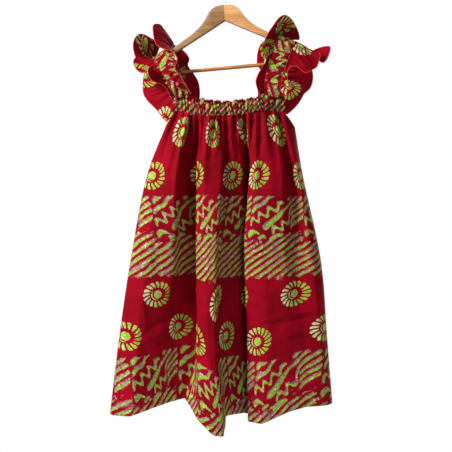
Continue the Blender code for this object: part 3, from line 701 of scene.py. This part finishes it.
    # Colours: the ground with clouds of dye 83 mm wide, lime and cream with 4 mm specks
    cloudy = add(tree, "TexNoise", {"Vector": place, "Scale": 1 / 83.3, "Detail": 4.0})
    cloud = add(tree, "MapRange", {0: cloudy, 1: 0.35, 2: 0.68, 3: 0.0, 4: 1.0})
    ground = add(tree, "MixRGB", [cloud, linear("#78000F"), linear("#94001A")])
    speck = add(tree, "TexNoise", {"Vector": place, "Scale": 1 / 4.17, "Detail": 4.0, "Roughness": 0.7})
    speck_share = add(tree, "MapRange", {0: speck, 1: 0.36, 2: 0.62, 3: 0.0, 4: 1.0})
    lime = add(tree, "MixRGB", [speck_share, linear("#64951C"), linear("#9CCD36")])
    pale = add(tree, "MixRGB", [speck_share, linear("#B4BE7C"), linear("#EFE9D2")])
    left_side = add(tree, "MapRange", {0: x, 1: -30.0, 2: 4.0, 3: 0.85, 4: 0.0})
    rim = add(tree, "MapRange", {0: waxed, 1: 0.2, 2: 1.2, 3: 0.45, 4: 0.0})
    pale_share = add(tree, "Math", [left_side, rim], "MAXIMUM")
    petal_colour = add(tree, "MixRGB", [pale_share, lime, pale])

    # The second dye crept along the stripes in streaks 45 mm long and 12 mm wide
    streak = {"Rotation": (0, 0, STRIPE_SLOPE), "Scale": (1 / 45.5, 1 / 11.76, 1.0)}
    creep = add(tree, "Mapping", {0: waver, **streak})
    creep = add(tree, "TexNoise", {"Vector": creep, "Scale": 1.0, "Detail": 4.0, "Roughness": 0.6})
    creep_share = add(tree, "MapRange", {0: creep, 1: 0.55, 2: 0.6, 3: 0.0, 4: 0.95})
    undyed = add(tree, "MapRange", {0: dyed, 1: -0.4, 2: 0.4, 3: 0.95, 4: 0.0})
    mauve = add(tree, "MixRGB", [speck_share, linear("#6E3A48"), linear("#B08A90")])
    mauve_share = add(tree, "Math", [creep_share, undyed], "MAXIMUM")
    stripe_colour = add(tree, "MixRGB", [mauve_share, lime, mauve])
    fleck = add(tree, "TexNoise", {"Vector": place, "Scale": 1 / 6.25, "Detail": 2.0})
    fleck = add(tree, "MapRange", {0: fleck, 1: 0.64, 2: 0.68, 3: 0.0, 4: 0.9})
    stripe_colour = add(tree, "MixRGB", [fleck, stripe_colour, linear("#E6DDD0")])
    kept = add(tree, "MixRGB", [in_band, petal_colour, stripe_colour])

    # The stiff wax cracked in plates of 8 mm, and the red dye ran into the cracks
    plates = {"Vector": waver, "Scale": 1 / 7.69}
    cracks = add(tree, "TexVoronoi", plates, out="Distance", feature="DISTANCE_TO_EDGE")
    crack = add(tree, "MapRange", {0: cracks, 1: 0.02, 2: 0.07, 3: 0.9, 4: 0.0})
    crack = add(tree, "Math", [crack, rag], "MULTIPLY")
    kept = add(tree, "MixRGB", [crack, kept, linear("#6B1A1E")])
    seep = add(tree, "MapRange", {0: band, 1: -2.6, 2: -1.6, 3: 0.0, 4: 0.5})
    seep = add(tree, "Math", [seep, creep_share], "MULTIPLY")
    ground = add(tree, "MixRGB", [seep, ground, mauve])
    colour = add(tree, "MixRGB", [waxed_share, ground, kept])
    tree.links.new(colour, shader.inputs["Base Color"])

    # Plain weave of 0.45 mm threads, drawn three times as coarse so that it shows, with slubs
    threads = {"Vector": place, "Scale": WAVE_REPEAT / WEAVE_DRAWN, "Distortion": 0.4}
    warp = add(tree, "TexWave", threads, out="Fac", bands_direction="X")
    weft = add(tree, "TexWave", threads, out="Fac", bands_direction="Y")
    weave = add(tree, "Math", [warp, weft], "MULTIPLY")
    slub = add(tree, "TexNoise", {"Vector": place, "Scale": 1 / 11.1, "Detail": 3.0})
    relief = add(tree, "Math", [slub, 5.0, weave], "MULTIPLY_ADD")
    bump = add(tree, "Bump", {"Strength": 0.35, "Distance": 0.4 * MM, "Height": relief})
    tree.links.new(bump, shader.inputs["Normal"])
    shader.inputs["Roughness"].default_value = 0.75
    shader.inputs["Specular IOR Level"].default_value = 0.06
    return made


cotton = batik_cotton()


def row_lengths(grid):
    """How far along its row each point of a grid lies."""
    steps = np.linalg.norm(np.diff(grid, axis=1), axis=2)
    return np.pad(np.cumsum(steps, axis=1), ((0, 0), (1, 0)))


def hang_panel(drawn, shares, columns, levels, side, widths, gathers):
    """The panel's outer face, and each point's place on the flat cloth."""
    places = np.linspace(0, 1, levels + 1)
    lengths = np.linalg.norm(np.diff(drawn[1:], axis=1), axis=2).mean(axis=0)
    ends = np.concatenate([[0], np.cumsum(lengths)])
    at = np.interp(np.linspace(0, ends[-1], columns + 1), ends, np.arange(len(ends)))
    lines = np.stack([
        np.stack([smooth_between(STATION_SHARES, drawn[:, line, axis], places) for axis in range(3)], -1)
        for line in range(drawn.shape[1])
    ], axis=1)
    below = np.minimum(at.astype(int), drawn.shape[1] - 2)
    part = (at - below)[None, :, None]
    grid = lines[:, below] * (1 - part) + lines[:, below + 1] * part
    grid = round_folds(grid, FOLD_ROUNDING)
    chest, thigh = (np.interp(at, np.arange(len(shares)), np.array(shares)[:, k]) for k in (0, 1))
    grid[0] = top_edge(chest, side)
    mix = np.interp(places, (STATION_SHARES[1], STATION_SHARES[3]), (0, 1))[:, None]
    share = chest * (1 - mix) + thigh * mix
    width = smooth_between(STATION_SHARES, widths, places)[:, None]
    down = np.broadcast_to(places[:, None] * PANEL_LENGTH, share.shape)
    cloth_place = np.stack([(share - 0.5) * width, down], axis=-1)
    fade = np.clip(1 - places / GATHER_FADE, 0, 1)[:, None] ** 0.8
    inset = np.clip(np.minimum(chest, 1 - chest) / SEAM_CALM, 0, 1)
    ripple = PANEL_RIPPLE * fade * gather_wave(chest * PANEL_GATHERS)
    ripple += gather_heights(chest, places, gathers)
    plain_length = row_lengths(grid)
    grid[..., 1] += side * inset * ripple
    taken_up = row_lengths(grid) - plain_length
    cloth_place[..., 0] += taken_up - taken_up[:, -1:] * share
    sag = grid[-1, :, 2].mean() - grid[-1, :, 2]
    start = np.interp(places, (SAG_START, STATION_SHARES[3]), (0, 1))
    below_thigh = np.interp(places, (STATION_SHARES[3], 1), (0, 1))
    held = start**2 * (3 - 2 * start) * (1 - (1 + SAG_SPARE) * below_thigh)
    cloth_place[..., 1] -= SAG_SHARE * held[:, None] * sag
    return grid, cloth_place, inset


def front_stations():
    """Front fold lines as points at the five stations."""
    rows = np.array(FRONT_FOLDS, float)
    stations = [top_edge(rows[:, 9], -1)]
    for k, height in enumerate((*STATION_HEIGHTS, None)):
        z = rows[:, 8] if height is None else np.full(len(rows), height)
        stations.append(np.stack([rows[:, k], rows[:, 4 + k], z], axis=-1) * MM)
    return np.array(stations)


def wear(grid, inset, side, creases, crumples):
    """Creases and crumples a panel; both die out at its side seams."""
    normal = grid_normals(grid)
    normal = normal * side * np.sign(normal[..., 1].mean())
    height = crease_heights(grid, creases)
    for size, high, seed in crumples:
        height += crumple(grid, size * MM, high * MM, seed)
    grid = grid + normal * (height * inset)[..., None]
    grid[:, [0, -1], 1] = 0.0
    return grid


front_shares = [row[9:] for row in FRONT_FOLDS]
front, front_place, inset = hang_panel(
    front_stations(), front_shares, FRONT_COLUMNS, FRONT_LEVELS, -1, FRONT_WIDTHS, FRONT_GATHERS)
front = wear(front, inset, -1, FRONT_CREASES, FRONT_CRUMPLES)
front_panel = cloth_shell("front_cloth", front, front_place, cotton)
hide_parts("front_panel")


# --- Back panel -------------------------------------------------------------------------------
# The back is cut and printed as the front is. Nothing pulls at it, so it hangs in four soft waves
# from its own half of the casing.

BACK_FOLDS = [
    # share of the width, depth at the chest, depth at the hem, height of the hem, in mm
    (0.000, 0, 0, -1036),
    (0.012, 12, 12, -1038),
    (0.090, 28, 36, -1028),
    (0.195, 14, 8, -1012),
    (0.300, 30, 42, -1000),
    (0.400, 15, 8, -996),
    (0.500, 34, 46, -996),
    (0.610, 16, 10, -998),
    (0.700, 31, 42, -1000),
    (0.800, 14, 9, -1002),
    (0.910, 28, 36, -1008),
    (0.988, 12, 12, -1013),
    (1.000, 0, 0, -1012),
]
BACK_COLUMNS = 200
BACK_LEVELS = 140
BACK_WIDTHS = (0.53, 0.56, 0.62, 0.67, 0.72)
BACK_GATHERS = [
    # share at the neck and at the lower end, half width, height in mm, length
    (0.09, 0.09, 0.014, 4, 0.30),
    (0.13, 0.15, 0.011, -6, 0.22),
    (0.18, 0.20, 0.014, -5, 0.36),
    (0.22, 0.24, 0.012, 4, 0.20),
    (0.27, 0.29, 0.014, 5, 0.38),
    (0.31, 0.32, 0.010, -6, 0.16),
    (0.36, 0.38, 0.013, -6, 0.34),
    (0.41, 0.42, 0.014, 4, 0.18),
    (0.45, 0.47, 0.014, 6, 0.42),
    (0.49, 0.50, 0.010, -5, 0.15),
    (0.54, 0.55, 0.013, -6, 0.24),
    (0.58, 0.60, 0.014, 5, 0.30),
    (0.63, 0.63, 0.011, -6, 0.40),
    (0.68, 0.68, 0.014, 5, 0.26),
    (0.73, 0.72, 0.010, -5, 0.18),
    (0.77, 0.78, 0.014, 5, 0.36),
    (0.82, 0.82, 0.012, -7, 0.30),
    (0.88, 0.88, 0.014, 4, 0.22),
    (0.92, 0.92, 0.011, -5, 0.28),
]
BACK_CREASES = [
    # from x, z to x, z, half width, height of the ridge (minus is a trough), in mm
    (-60, -350, -90, -450, 7, 2.9),
    (-20, -345, -30, -430, 6, -2.9),
    (40, -350, 60, -440, 7, 2.6),
    (100, -370, 135, -470, 7, -2.6),
    (-110, -370, -150, -480, 8, 2.6),
    (-200, -780, -120, -760, 8, 2.6),
    (-190, -800, -130, -788, 6, -2.4),
    (90, -830, 170, -850, 7, 2.6),
    (-40, -620, 30, -640, 8, -2.2),
    (60, -560, 120, -540, 8, 2.2),
    (20, -930, 90, -945, 8, 2.2),
    (-170, -940, -110, -930, 8, -2.2),
]
BACK_CRUMPLES = [(70, 3.0, 13.0), (24, 1.4, 18.0), (11, 0.55, 19.0)]  # size and height in mm, seed


def back_stations():
    """Back waves as points at the five stations, between the front's two seams."""
    rows = np.array(BACK_FOLDS, float)
    seams = front_stations()
    stations = [top_edge(rows[:, 0], 1)]
    for k, height in enumerate((*STATION_HEIGHTS, None)):
        left, right = seams[k + 1, 0, 0], seams[k + 1, -1, 0]
        y = (rows[:, 1] * (1 - k / 3) + rows[:, 2] * k / 3) * MM
        z = (rows[:, 3] if height is None else np.full(len(rows), height)) * MM
        stations.append(np.stack([left + (right - left) * rows[:, 0], y, z], axis=-1))
    return np.array(stations)


back_shares = [(row[0], row[0]) for row in BACK_FOLDS]
back, back_place, inset = hang_panel(
    back_stations(), back_shares, BACK_COLUMNS, BACK_LEVELS, 1, BACK_WIDTHS, BACK_GATHERS)
back = wear(back, inset, 1, BACK_CREASES, BACK_CRUMPLES)
back_panel = cloth_shell("back_cloth", back, back_place, cotton)
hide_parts("back_panel")


# --- Neck casing ------------------------------------------------------------------------------
# A strip of the same cotton folded over 20 mm elastic and stitched through. The elastic draws
# 500 mm of cloth in to half, so it crowds into tight slanting gathers with a frilled top edge.

CASING_GATHERS = 28
CASING_SPARE = 8.0 * MM  # how far each end bulges past its seam
CASING_COLUMNS = 12 * CASING_GATHERS
CASING_PROFILE = [
    # up (1 is the upper edge), how far it puffs out, size of the gathers, in mm
    (-0.12, 0.6, 2.4),
    (0.0, 0.6, 2.4),
    (0.14, 2.2, 2.6),
    (0.34, 3.2, 2.2),
    (0.55, 2.9, 2.2),
    (0.72, 0.9, 2.0),
    (0.86, 0.6, 2.9),
    (1.0, 0.4, 3.6),
]
CASING_LEVELS = 18
CASING_WIDE, CASING_TALL = 500.0 * MM, 45.0 * MM  # of the flat cloth
CASING_CUT = 268.0 * MM  # where on the printed cloth the strip was cut
CASING_WALL = 1.3 * MM  # two layers
CASING_FRILL, CASING_PUCKER = 1.6 * MM, 0.9 * MM  # how far they bite into the upper edge
CASING_LUMPS = [(8, 4.0, 5.0), (4, 1.4, 9.0)]  # size and height in mm, seed


def casing(side):
    """One half of the casing as a grid with its places on the flat cloth."""
    ups = np.linspace(1.0, -0.1, CASING_LEVELS + 1)[:, None]
    x = np.linspace(CASING_LEFT - CASING_SPARE, CASING_RIGHT + CASING_SPARE, CASING_COLUMNS + 1)[None]
    turns = np.linspace(0, CASING_GATHERS, CASING_COLUMNS + 1)[None]
    over = np.clip(x, CASING_LEFT, CASING_RIGHT)
    top, bottom = neck_edge(over, 1), neck_edge(over, 2)
    profile = np.array(CASING_PROFILE)
    puff = smooth_between(profile[:, 0], profile[:, 1], ups) * MM
    size = smooth_between(profile[:, 0], profile[:, 2], ups) * MM
    lean = 0.45 * np.sin(turns * 0.9 + 1.0) * (ups - 0.5) + 0.25 * np.sin(turns * 1.7 + 4 * ups)
    wave = gather_wave(turns + lean + (0.4 if side > 0 else 0.0))
    small = np.sin(2 * math.pi * (turns * 2.3 + 1.1 * ups + 0.3 * np.sin(turns * 3.7)))
    frill = CASING_FRILL * (1 + gather_wave(turns * 0.5 + 0.2)) + CASING_PUCKER * small
    ends = np.clip(np.minimum(turns, CASING_GATHERS - turns) / 3, 0, 1)
    y = neck_depth(x, side) + side * (puff + size * wave + 0.8 * MM * small)
    z = bottom + (top - bottom) * ups - frill * ends * np.clip(ups, 0, 1) ** 2
    grid = np.stack([np.broadcast_to(x, y.shape), y, z], axis=-1)
    lumps = sum(crumple(grid, size * MM, high * MM, seed) for size, high, seed in CASING_LUMPS)
    grid[..., 1] += side * lumps
    grid[..., 2] += 0.5 * lumps * np.clip(ups, 0, 1)
    across, down = (turns / CASING_GATHERS - 0.5) * CASING_WIDE, CASING_CUT + (1 - ups) * CASING_TALL
    return grid, np.stack(np.broadcast_arrays(across, down), axis=-1)


for side, name in ((-1, "front"), (1, "back")):
    grid, place = casing(side)
    outward = np.zeros_like(grid)
    outward[..., 1] = side
    piece = cloth_shell(f"casing_{name}_cloth", grid, place, cotton, CASING_WALL, outward)
    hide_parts(f"neck_casing_{name}")


# --- Shoulder straps --------------------------------------------------------------------------
# Each strap is a tube of the same cotton with elastic inside, drawn up to half its length. It
# runs from the front casing over the hanger's arm to the back casing.

STRAP_PATHS = {
    # across, depth, height, half width, in mm
    "left": [
        (-105, -19, -274, 16),
        (-120, -27, -243, 17),
        (-138, -25, -207, 19),
        (-150, -12, -181, 20),
        (-156, 22, -170, 20),
        (-150, 44, -184, 20),
        (-138, 44, -212, 19),
        (-121, 33, -244, 17),
        (-106, 20, -274, 16),
    ],
    "right": [
        (110, -20, -274, 18),
        (114, -32, -240, 20),
        (122, -44, -206, 21),
        (134, -46, -172, 21),
        (145, -21, -141, 21),
        (138, 8, -170, 21),
        (126, 20, -206, 21),
        (116, 28, -242, 20),
        (109, 26, -274, 18),
    ],
}
STRAP_GATHERS = 14
STRAP_COLUMNS = 12 * STRAP_GATHERS
STRAP_LEVELS = 12
STRAP_WALL = 1.2 * MM  # two layers
STRAP_LUMPS = [(10, 4.0, 21.0), (4.5, 1.4, 25.0)]  # size and height in mm, seed
STRAP_TUCK = 4.0 * MM  # how far each end runs into the casing
STRAP_CROWN = 2.2 * MM
STRAP_RIPPLE = 1.9 * MM
STRAP_LENGTH, STRAP_HALF = 420.0 * MM, 21.0 * MM  # of the flat cloth
STRAP_CUTS = {
    # where on the cloth the front end was cut, and how far down the print the strip slants, in m
    "left": (-0.210, 0.300, -0.200),
    "right": (0.110, 0.290, -0.130),
}
ARM_FALLS = {"left": 0.63, "right": 0.49}  # how steeply each arm falls under its strap


def path_points(rows, count):
    """A smooth path through listed rows, its points evenly spaced by length."""
    rows = np.array(rows, float)
    steps = np.linalg.norm(np.diff(rows[:, :3], axis=0), axis=1)
    ends = np.concatenate([[0], np.cumsum(steps)])
    along = np.linspace(0, ends[-1], count + 1)
    return np.stack([smooth_between(ends, rows[:, k], along) for k in range(rows.shape[1])], axis=-1)


def strap_frame(side, count):
    """Middle of the strap, its outward direction along the hanger's arm, and its half width."""
    path = path_points(STRAP_PATHS[side], count)
    middle, half = path[:, :3] * MM, path[:, 3] * MM
    run = np.gradient(middle, axis=0)
    run /= np.linalg.norm(run, axis=1, keepdims=True)
    sign = -1 if side == "left" else 1
    arm = np.array([sign, -sign * math.tan(YAW), -ARM_FALLS[side]])
    outward = arm - run * (run @ arm)[:, None]
    return middle, outward / np.linalg.norm(outward, axis=1, keepdims=True), half


def strap_grid(side):
    """The strap's upper face with its gathers, its normals and its places on the flat cloth."""
    middle, outward, half = strap_frame(side, STRAP_COLUMNS)
    across = np.linspace(-1, 1, STRAP_LEVELS + 1)[:, None]
    square = np.cross(np.gradient(middle, axis=0), outward)
    square /= np.linalg.norm(square, axis=1, keepdims=True)
    if square[STRAP_COLUMNS // 2, 2] < 0:
        square = -square
    turns = np.linspace(0, STRAP_GATHERS, STRAP_COLUMNS + 1)[None]
    lean = 0.35 * across * np.sin(turns * 1.3 + 0.5) + 0.2 * np.sin(3 * across + turns)
    ripple = gather_wave(turns + lean) + 0.35 * np.sin(2 * math.pi * (turns * 2.2 + 0.8 * across))
    rise = (STRAP_CROWN + STRAP_RIPPLE * ripple) * (1 - across**4) + STRAP_WALL
    grid = middle + outward * (half * across)[..., None] + square * rise[..., None]
    lumps = sum(crumple(grid, size * MM, high * MM, seed) for size, high, seed in STRAP_LUMPS)
    grid = grid + square * (lumps * (1 - across**4))[..., None]
    for end, step in ((0, 1), (-1, -2)):
        run = middle[end] - middle[step]
        run /= np.linalg.norm(run)
        grid[:, end] += run * STRAP_TUCK
    cut_u, cut_v, slant = STRAP_CUTS[side]
    along = turns / STRAP_GATHERS
    u, v = cut_u + along * STRAP_LENGTH, cut_v + slant * along + across * STRAP_HALF
    return grid, np.broadcast_to(square, grid.shape), np.stack(np.broadcast_arrays(u, v), axis=-1)


for side in ("left", "right"):
    grid, square, place = strap_grid(side)
    piece = cloth_shell(f"strap_{side}_cloth", grid, place, cotton, STRAP_WALL, square)
    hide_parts(f"strap_{side}")


# --- Ruffles ----------------------------------------------------------------------------------
# Each ruffle is a strip of the same cotton, gathered along one side into a strap's edge seam. The
# other side is only overlocked, so it stands and falls in loose waves.

RUFFLE_WAVES = {
    # along, across, depth, height (mm)
    "left_outer": [
        (0, -125, -24, -290), (0.09, -144, -36, -256), (0.16, -175, -46, -244),
        (0.21, -183, -50, -218), (0.27, -175, -40, -212), (0.32, -197, -12, -224),
        (0.37, -217, -14, -208), (0.41, -221, -8, -190), (0.445, -215, 12, -181),
        (0.48, -220, 3, -171), (0.52, -223, 2, -147), (0.56, -205, 12, -119),
        (0.6, -176, 26, -136), (0.645, -155, 46, -142), (0.69, -186, 62, -178),
        (0.78, -203, 58, -238), (0.85, -201, 54, -266), (0.92, -168, 48, -303),
        (1, -144, 36, -335),
    ],
    "left_inner": [
        (0, -83, -24, -273), (0.12, -97, -36, -251), (0.22, -108, -44, -231),
        (0.3, -119, -46, -213), (0.36, -114, -40, -193), (0.41, -129, -36, -171),
        (0.45, -141, -30, -170), (0.49, -167, -20, -156), (0.52, -170, -6, -137),
        (0.55, -178, 8, -103), (0.6, -156, 30, -96), (0.65, -147, 46, -122),
        (0.7, -131, 56, -140), (0.75, -102, 46, -158), (0.8, -87, 36, -183),
        (0.84, -92, 22, -199), (0.89, -79, 36, -214), (0.95, -63, 40, -248),
        (1, -64, 26, -288),
    ],
    "right_inner": [
        (0, 82, -24, -276), (0.12, 72, -36, -247), (0.2, 79, -37, -225),
        (0.27, 88, -46, -210), (0.32, 97, -54, -196), (0.37, 86, -62, -171),
        (0.42, 91, -62, -152), (0.46, 122, -46, -100), (0.5, 145, -34, -85),
        (0.54, 172, -14, -116), (0.58, 179, 8, -139), (0.65, 144, 26, -131),
        (0.72, 88, 16, -142), (0.79, 76, 28, -189), (0.86, 88, 14, -215),
        (0.93, 78, 34, -241), (1, 81, 26, -288),
    ],
    "right_outer": [
        (0, 139, -26, -283), (0.1, 149, -40, -257), (0.17, 145, -43, -236),
        (0.225, 149, -53, -215), (0.28, 167, -58, -211), (0.34, 188, -60, -230),
        (0.39, 208, -50, -217), (0.44, 216, -46, -213), (0.48, 227, -38, -176),
        (0.52, 210, -25, -177), (0.56, 230, -18, -203), (0.6, 247, -12, -181),
        (0.64, 253, -6, -154), (0.69, 213, 6, -162), (0.75, 195, 24, -180),
        (0.81, 212, 22, -216), (0.87, 208, 32, -251), (0.92, 188, 28, -267),
        (0.96, 184, 44, -284), (1, 151, 40, -316),
    ],
}
RUFFLE_FEET = {
    # where the back end of its seam reaches the casing: across, depth, height (mm)
    "left_outer": (-113, 15, -311),
    "left_inner": (-90, 22, -287),
    "right_inner": (91, 27, -287),
    "right_outer": (135, 15, -314),
}
RUFFLE_FOOT_START = 0.88  # share of the length where the seam leaves the strap
RUFFLE_COLUMNS = 224
RUFFLE_LEVELS = 20
RUFFLE_ROUNDING = 24  # passes along the free edge
RUFFLE_START = 0.4  # share of its reach that a ruffle runs straight out from the seam
RUFFLE_GATHERS, RUFFLE_RIPPLE = 26, 3.0 * MM
RUFFLE_LUMP, RUFFLE_LUMP_HIGH = 30.0 * MM, 2.4 * MM
REACH_BLUR = 13  # columns over which the strip's width is evened out
RUFFLE_CUTS = {
    # flat length and width, and where on the cloth its inner corner was cut, in m
    "left_outer": (0.60, 0.055, -0.234, -0.008),
    "left_inner": (0.52, 0.048, -0.037, 0.046),
    "right_inner": (0.58, 0.045, -0.186, 0.020),
    "right_outer": (0.56, 0.060, -0.113, 0.026),
}


def ruffle_grid(name):
    """Cloth of a ruffle: from the strap's edge out to the waving free edge."""
    side, edge = name.split("_")
    sign = -1 if edge == "inner" else 1
    middle, outward, half = strap_frame(side, RUFFLE_COLUMNS)
    root = middle + outward * (sign * half)[:, None]
    waves = np.array(RUFFLE_WAVES[name], float)
    along = np.linspace(0, 1, RUFFLE_COLUMNS + 1)
    near_end = np.clip((along - RUFFLE_FOOT_START) / (1 - RUFFLE_FOOT_START), 0, 1)[:, None] ** 2
    root = root * (1 - near_end) + np.array(RUFFLE_FEET[name]) * MM * near_end
    free = np.stack([smooth_between(waves[:, 0], waves[:, k], along) for k in (1, 2, 3)], axis=-1) * MM
    free = round_folds(free[None], RUFFLE_ROUNDING)[0]
    reach = np.linalg.norm(free - root, axis=1, keepdims=True)
    bend = root + outward * sign * reach * RUFFLE_START
    out = np.linspace(0, 1, RUFFLE_LEVELS + 1)[:, None, None]
    grid = root * (1 - out) ** 2 + 2 * bend * out * (1 - out) + free * out**2
    gathers = RUFFLE_RIPPLE * gather_wave(along * RUFFLE_GATHERS) * np.clip(1 - out[..., 0] / 0.95, 0, 1)
    normal = grid_normals(grid)
    height = gathers + crumple(grid, RUFFLE_LUMP, RUFFLE_LUMP_HIGH, len(name)) * out[..., 0]
    length, _, cut_u, cut_v = RUFFLE_CUTS[name]
    padded = np.pad(reach[:, 0], REACH_BLUR // 2, mode="edge")
    wide = np.convolve(padded, np.full(REACH_BLUR, 1 / REACH_BLUR), mode="valid")
    edge_length = row_lengths(free[None])
    ran = cut_u + edge_length / edge_length[0, -1] * length
    place = np.stack(np.broadcast_arrays(ran, cut_v + out[..., 0] * wide), axis=-1)
    return grid + normal * height[..., None], normal, place


ruffle_edges = {}
for name in RUFFLE_WAVES:
    grid, normal, place = ruffle_grid(name)
    outer = grid + normal * CLOTH_WALL / 2
    piece = cloth_shell(f"ruffle_{name}_cloth", outer, place, cotton, normal=normal)
    ruffle_edges[name] = grid[-1]
    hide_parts(f"ruffle_{name}")


# --- Overlocked edges -------------------------------------------------------------------------
# Orange-red polyester thread, looped over each ruffle's free edge and over the seams that join
# the ruffles to the straps. The loops lie 2 mm apart.

THREAD_PITCH = 2.0 * MM
RINGS_A_LOOP, CORD_SIDES = 3, 8
EDGE_CORD, SEAM_CORD = (1.7 * MM, 1.5 * MM), (1.4 * MM, 1.2 * MM)  # width and height


def overlock_thread():
    """Spun polyester: the eye sees a dull orange-red cord with a fine fuzz."""
    made, tree, shader = new_material("orange_red_overlock_thread")
    place = add(tree, "TexCoord", out="Object")
    fuzz = add(tree, "TexNoise", {"Vector": place, "Scale": 1000 / 1.11, "Detail": 2.0})
    colour = add(tree, "MixRGB", [fuzz, linear("#A81C10"), linear("#D83820")])
    tree.links.new(colour, shader.inputs["Base Color"])
    shader.inputs["Roughness"].default_value = 0.6
    return made


def looped_edge(name, line, size, material):
    """A flat cord of thread loops along a line of points, of this width and height."""
    steps = np.concatenate([[0], np.cumsum(np.linalg.norm(np.diff(line, axis=0), axis=1))])
    count = int(steps[-1] / THREAD_PITCH * RINGS_A_LOOP)
    at = np.linspace(0, steps[-1], count)
    line = np.stack([np.interp(at, steps, line[:, k]) for k in range(3)], axis=-1)
    run = np.gradient(line, axis=0)
    run /= np.linalg.norm(run, axis=1, keepdims=True)
    aside = np.cross(run, (0, 1, 0))
    aside /= np.linalg.norm(aside, axis=1, keepdims=True)
    square = np.cross(run, aside)
    loops = (1 + 0.16 * np.cos(2 * math.pi * at / THREAD_PITCH))[:, None]
    rings = []
    for turn in np.linspace(0, 2 * math.pi, CORD_SIDES, endpoint=False):
        across, up = size[0] / 2 * math.cos(turn), size[1] / 2 * math.sin(turn)
        rings.append(line + (aside * across + square * up) * loops)
    item = make_piece(name, np.stack(rings, axis=1), ring_faces(count, CORD_SIDES), material, 80)


thread = overlock_thread()
for name, line in ruffle_edges.items():
    looped_edge(f"overlock_{name}", line, EDGE_CORD, thread)
for side in ("left", "right"):
    grid, _, _ = strap_grid(side)
    for row, edge in ((0, "inner"), (-1, "outer")):
        looped_edge(f"strap_seam_{side}_{edge}", grid[row, 2:-2], SEAM_CORD, thread)


# --- Studio -----------------------------------------------------------------------------------
# A plain pale floor far below, white surroundings and soft lamps. The camera stands square to
# the dress, 2.4 m in front.

FLOOR_RADIUS, FLOOR_HEIGHT, FLOOR_SIDES = 1.5, -1.56, 96
DRESS_MIDDLE = (0, 0, -0.6)

rim = np.linspace(0, 2 * math.pi, FLOOR_SIDES, endpoint=False)
floor_points = [(FLOOR_RADIUS * math.cos(a), FLOOR_RADIUS * math.sin(a), FLOOR_HEIGHT) for a in rim]
floor_mesh = bpy.data.meshes.new("floor")
floor_mesh.from_pydata(floor_points, [], [tuple(range(FLOOR_SIDES))])
floor = bpy.data.objects.new("floor", floor_mesh)
bpy.context.collection.objects.link(floor)
paint, _, paint_shader = new_material("matt_floor_paint")
paint_shader.inputs["Base Color"].default_value = linear("#E9E7E3")
paint_shader.inputs["Roughness"].default_value = 0.9
floor_mesh.materials.append(paint)


def lamp(name, place, size, power):
    """A square white lamp that faces the dress: its place and size in m, its power in W."""
    light = bpy.data.lights.new(name, "AREA")
    light.size = size
    light.energy = power
    item = bpy.data.objects.new(name, light)
    item.location = place
    aim = Vector(DRESS_MIDDLE) - Vector(place)
    item.rotation_euler = aim.to_track_quat("-Z", "Y").to_euler()
    bpy.context.collection.objects.link(item)


lamp("key", (-2.15, -1.35, 1.0), 0.8, 140)
lamp("fill", (1.6, -2.2, -0.2), 1.6, 10)
lamp("back", (1.5, 2.0, 0.8), 1.0, 75)

world = bpy.data.worlds.new("white_studio")
world.use_nodes = True
bpy.context.scene.world = world
background = world.node_tree.nodes["Background"]
background.inputs["Color"].default_value = linear("#FFFFFF")
background.inputs["Strength"].default_value = 0.22
seen = add(world.node_tree, "Background", {"Color": linear("#FFFFFF"), "Strength": 1.0})
direct = add(world.node_tree, "LightPath", out="Is Camera Ray")
blend = add(world.node_tree, "MixShader", [direct, background.outputs[0], seen])
world.node_tree.links.new(blend, world.node_tree.nodes["World Output"].inputs["Surface"])

EYE = (0.0012, -2.4, -0.587)
FRAME_WIDE = 452 * 2.4 * MM  # 452 pixels of 2.4 mm at the dress
camera_data = bpy.data.cameras.new("camera")
camera_data.sensor_width = 36.0
camera_data.lens = camera_data.sensor_width * -EYE[1] / FRAME_WIDE
camera = bpy.data.objects.new("camera", camera_data)
camera.location = EYE
camera.rotation_euler = (math.pi / 2, 0, 0)
bpy.context.collection.objects.link(camera)
bpy.context.scene.camera = camera
bpy.context.scene.view_settings.view_transform = "Standard"
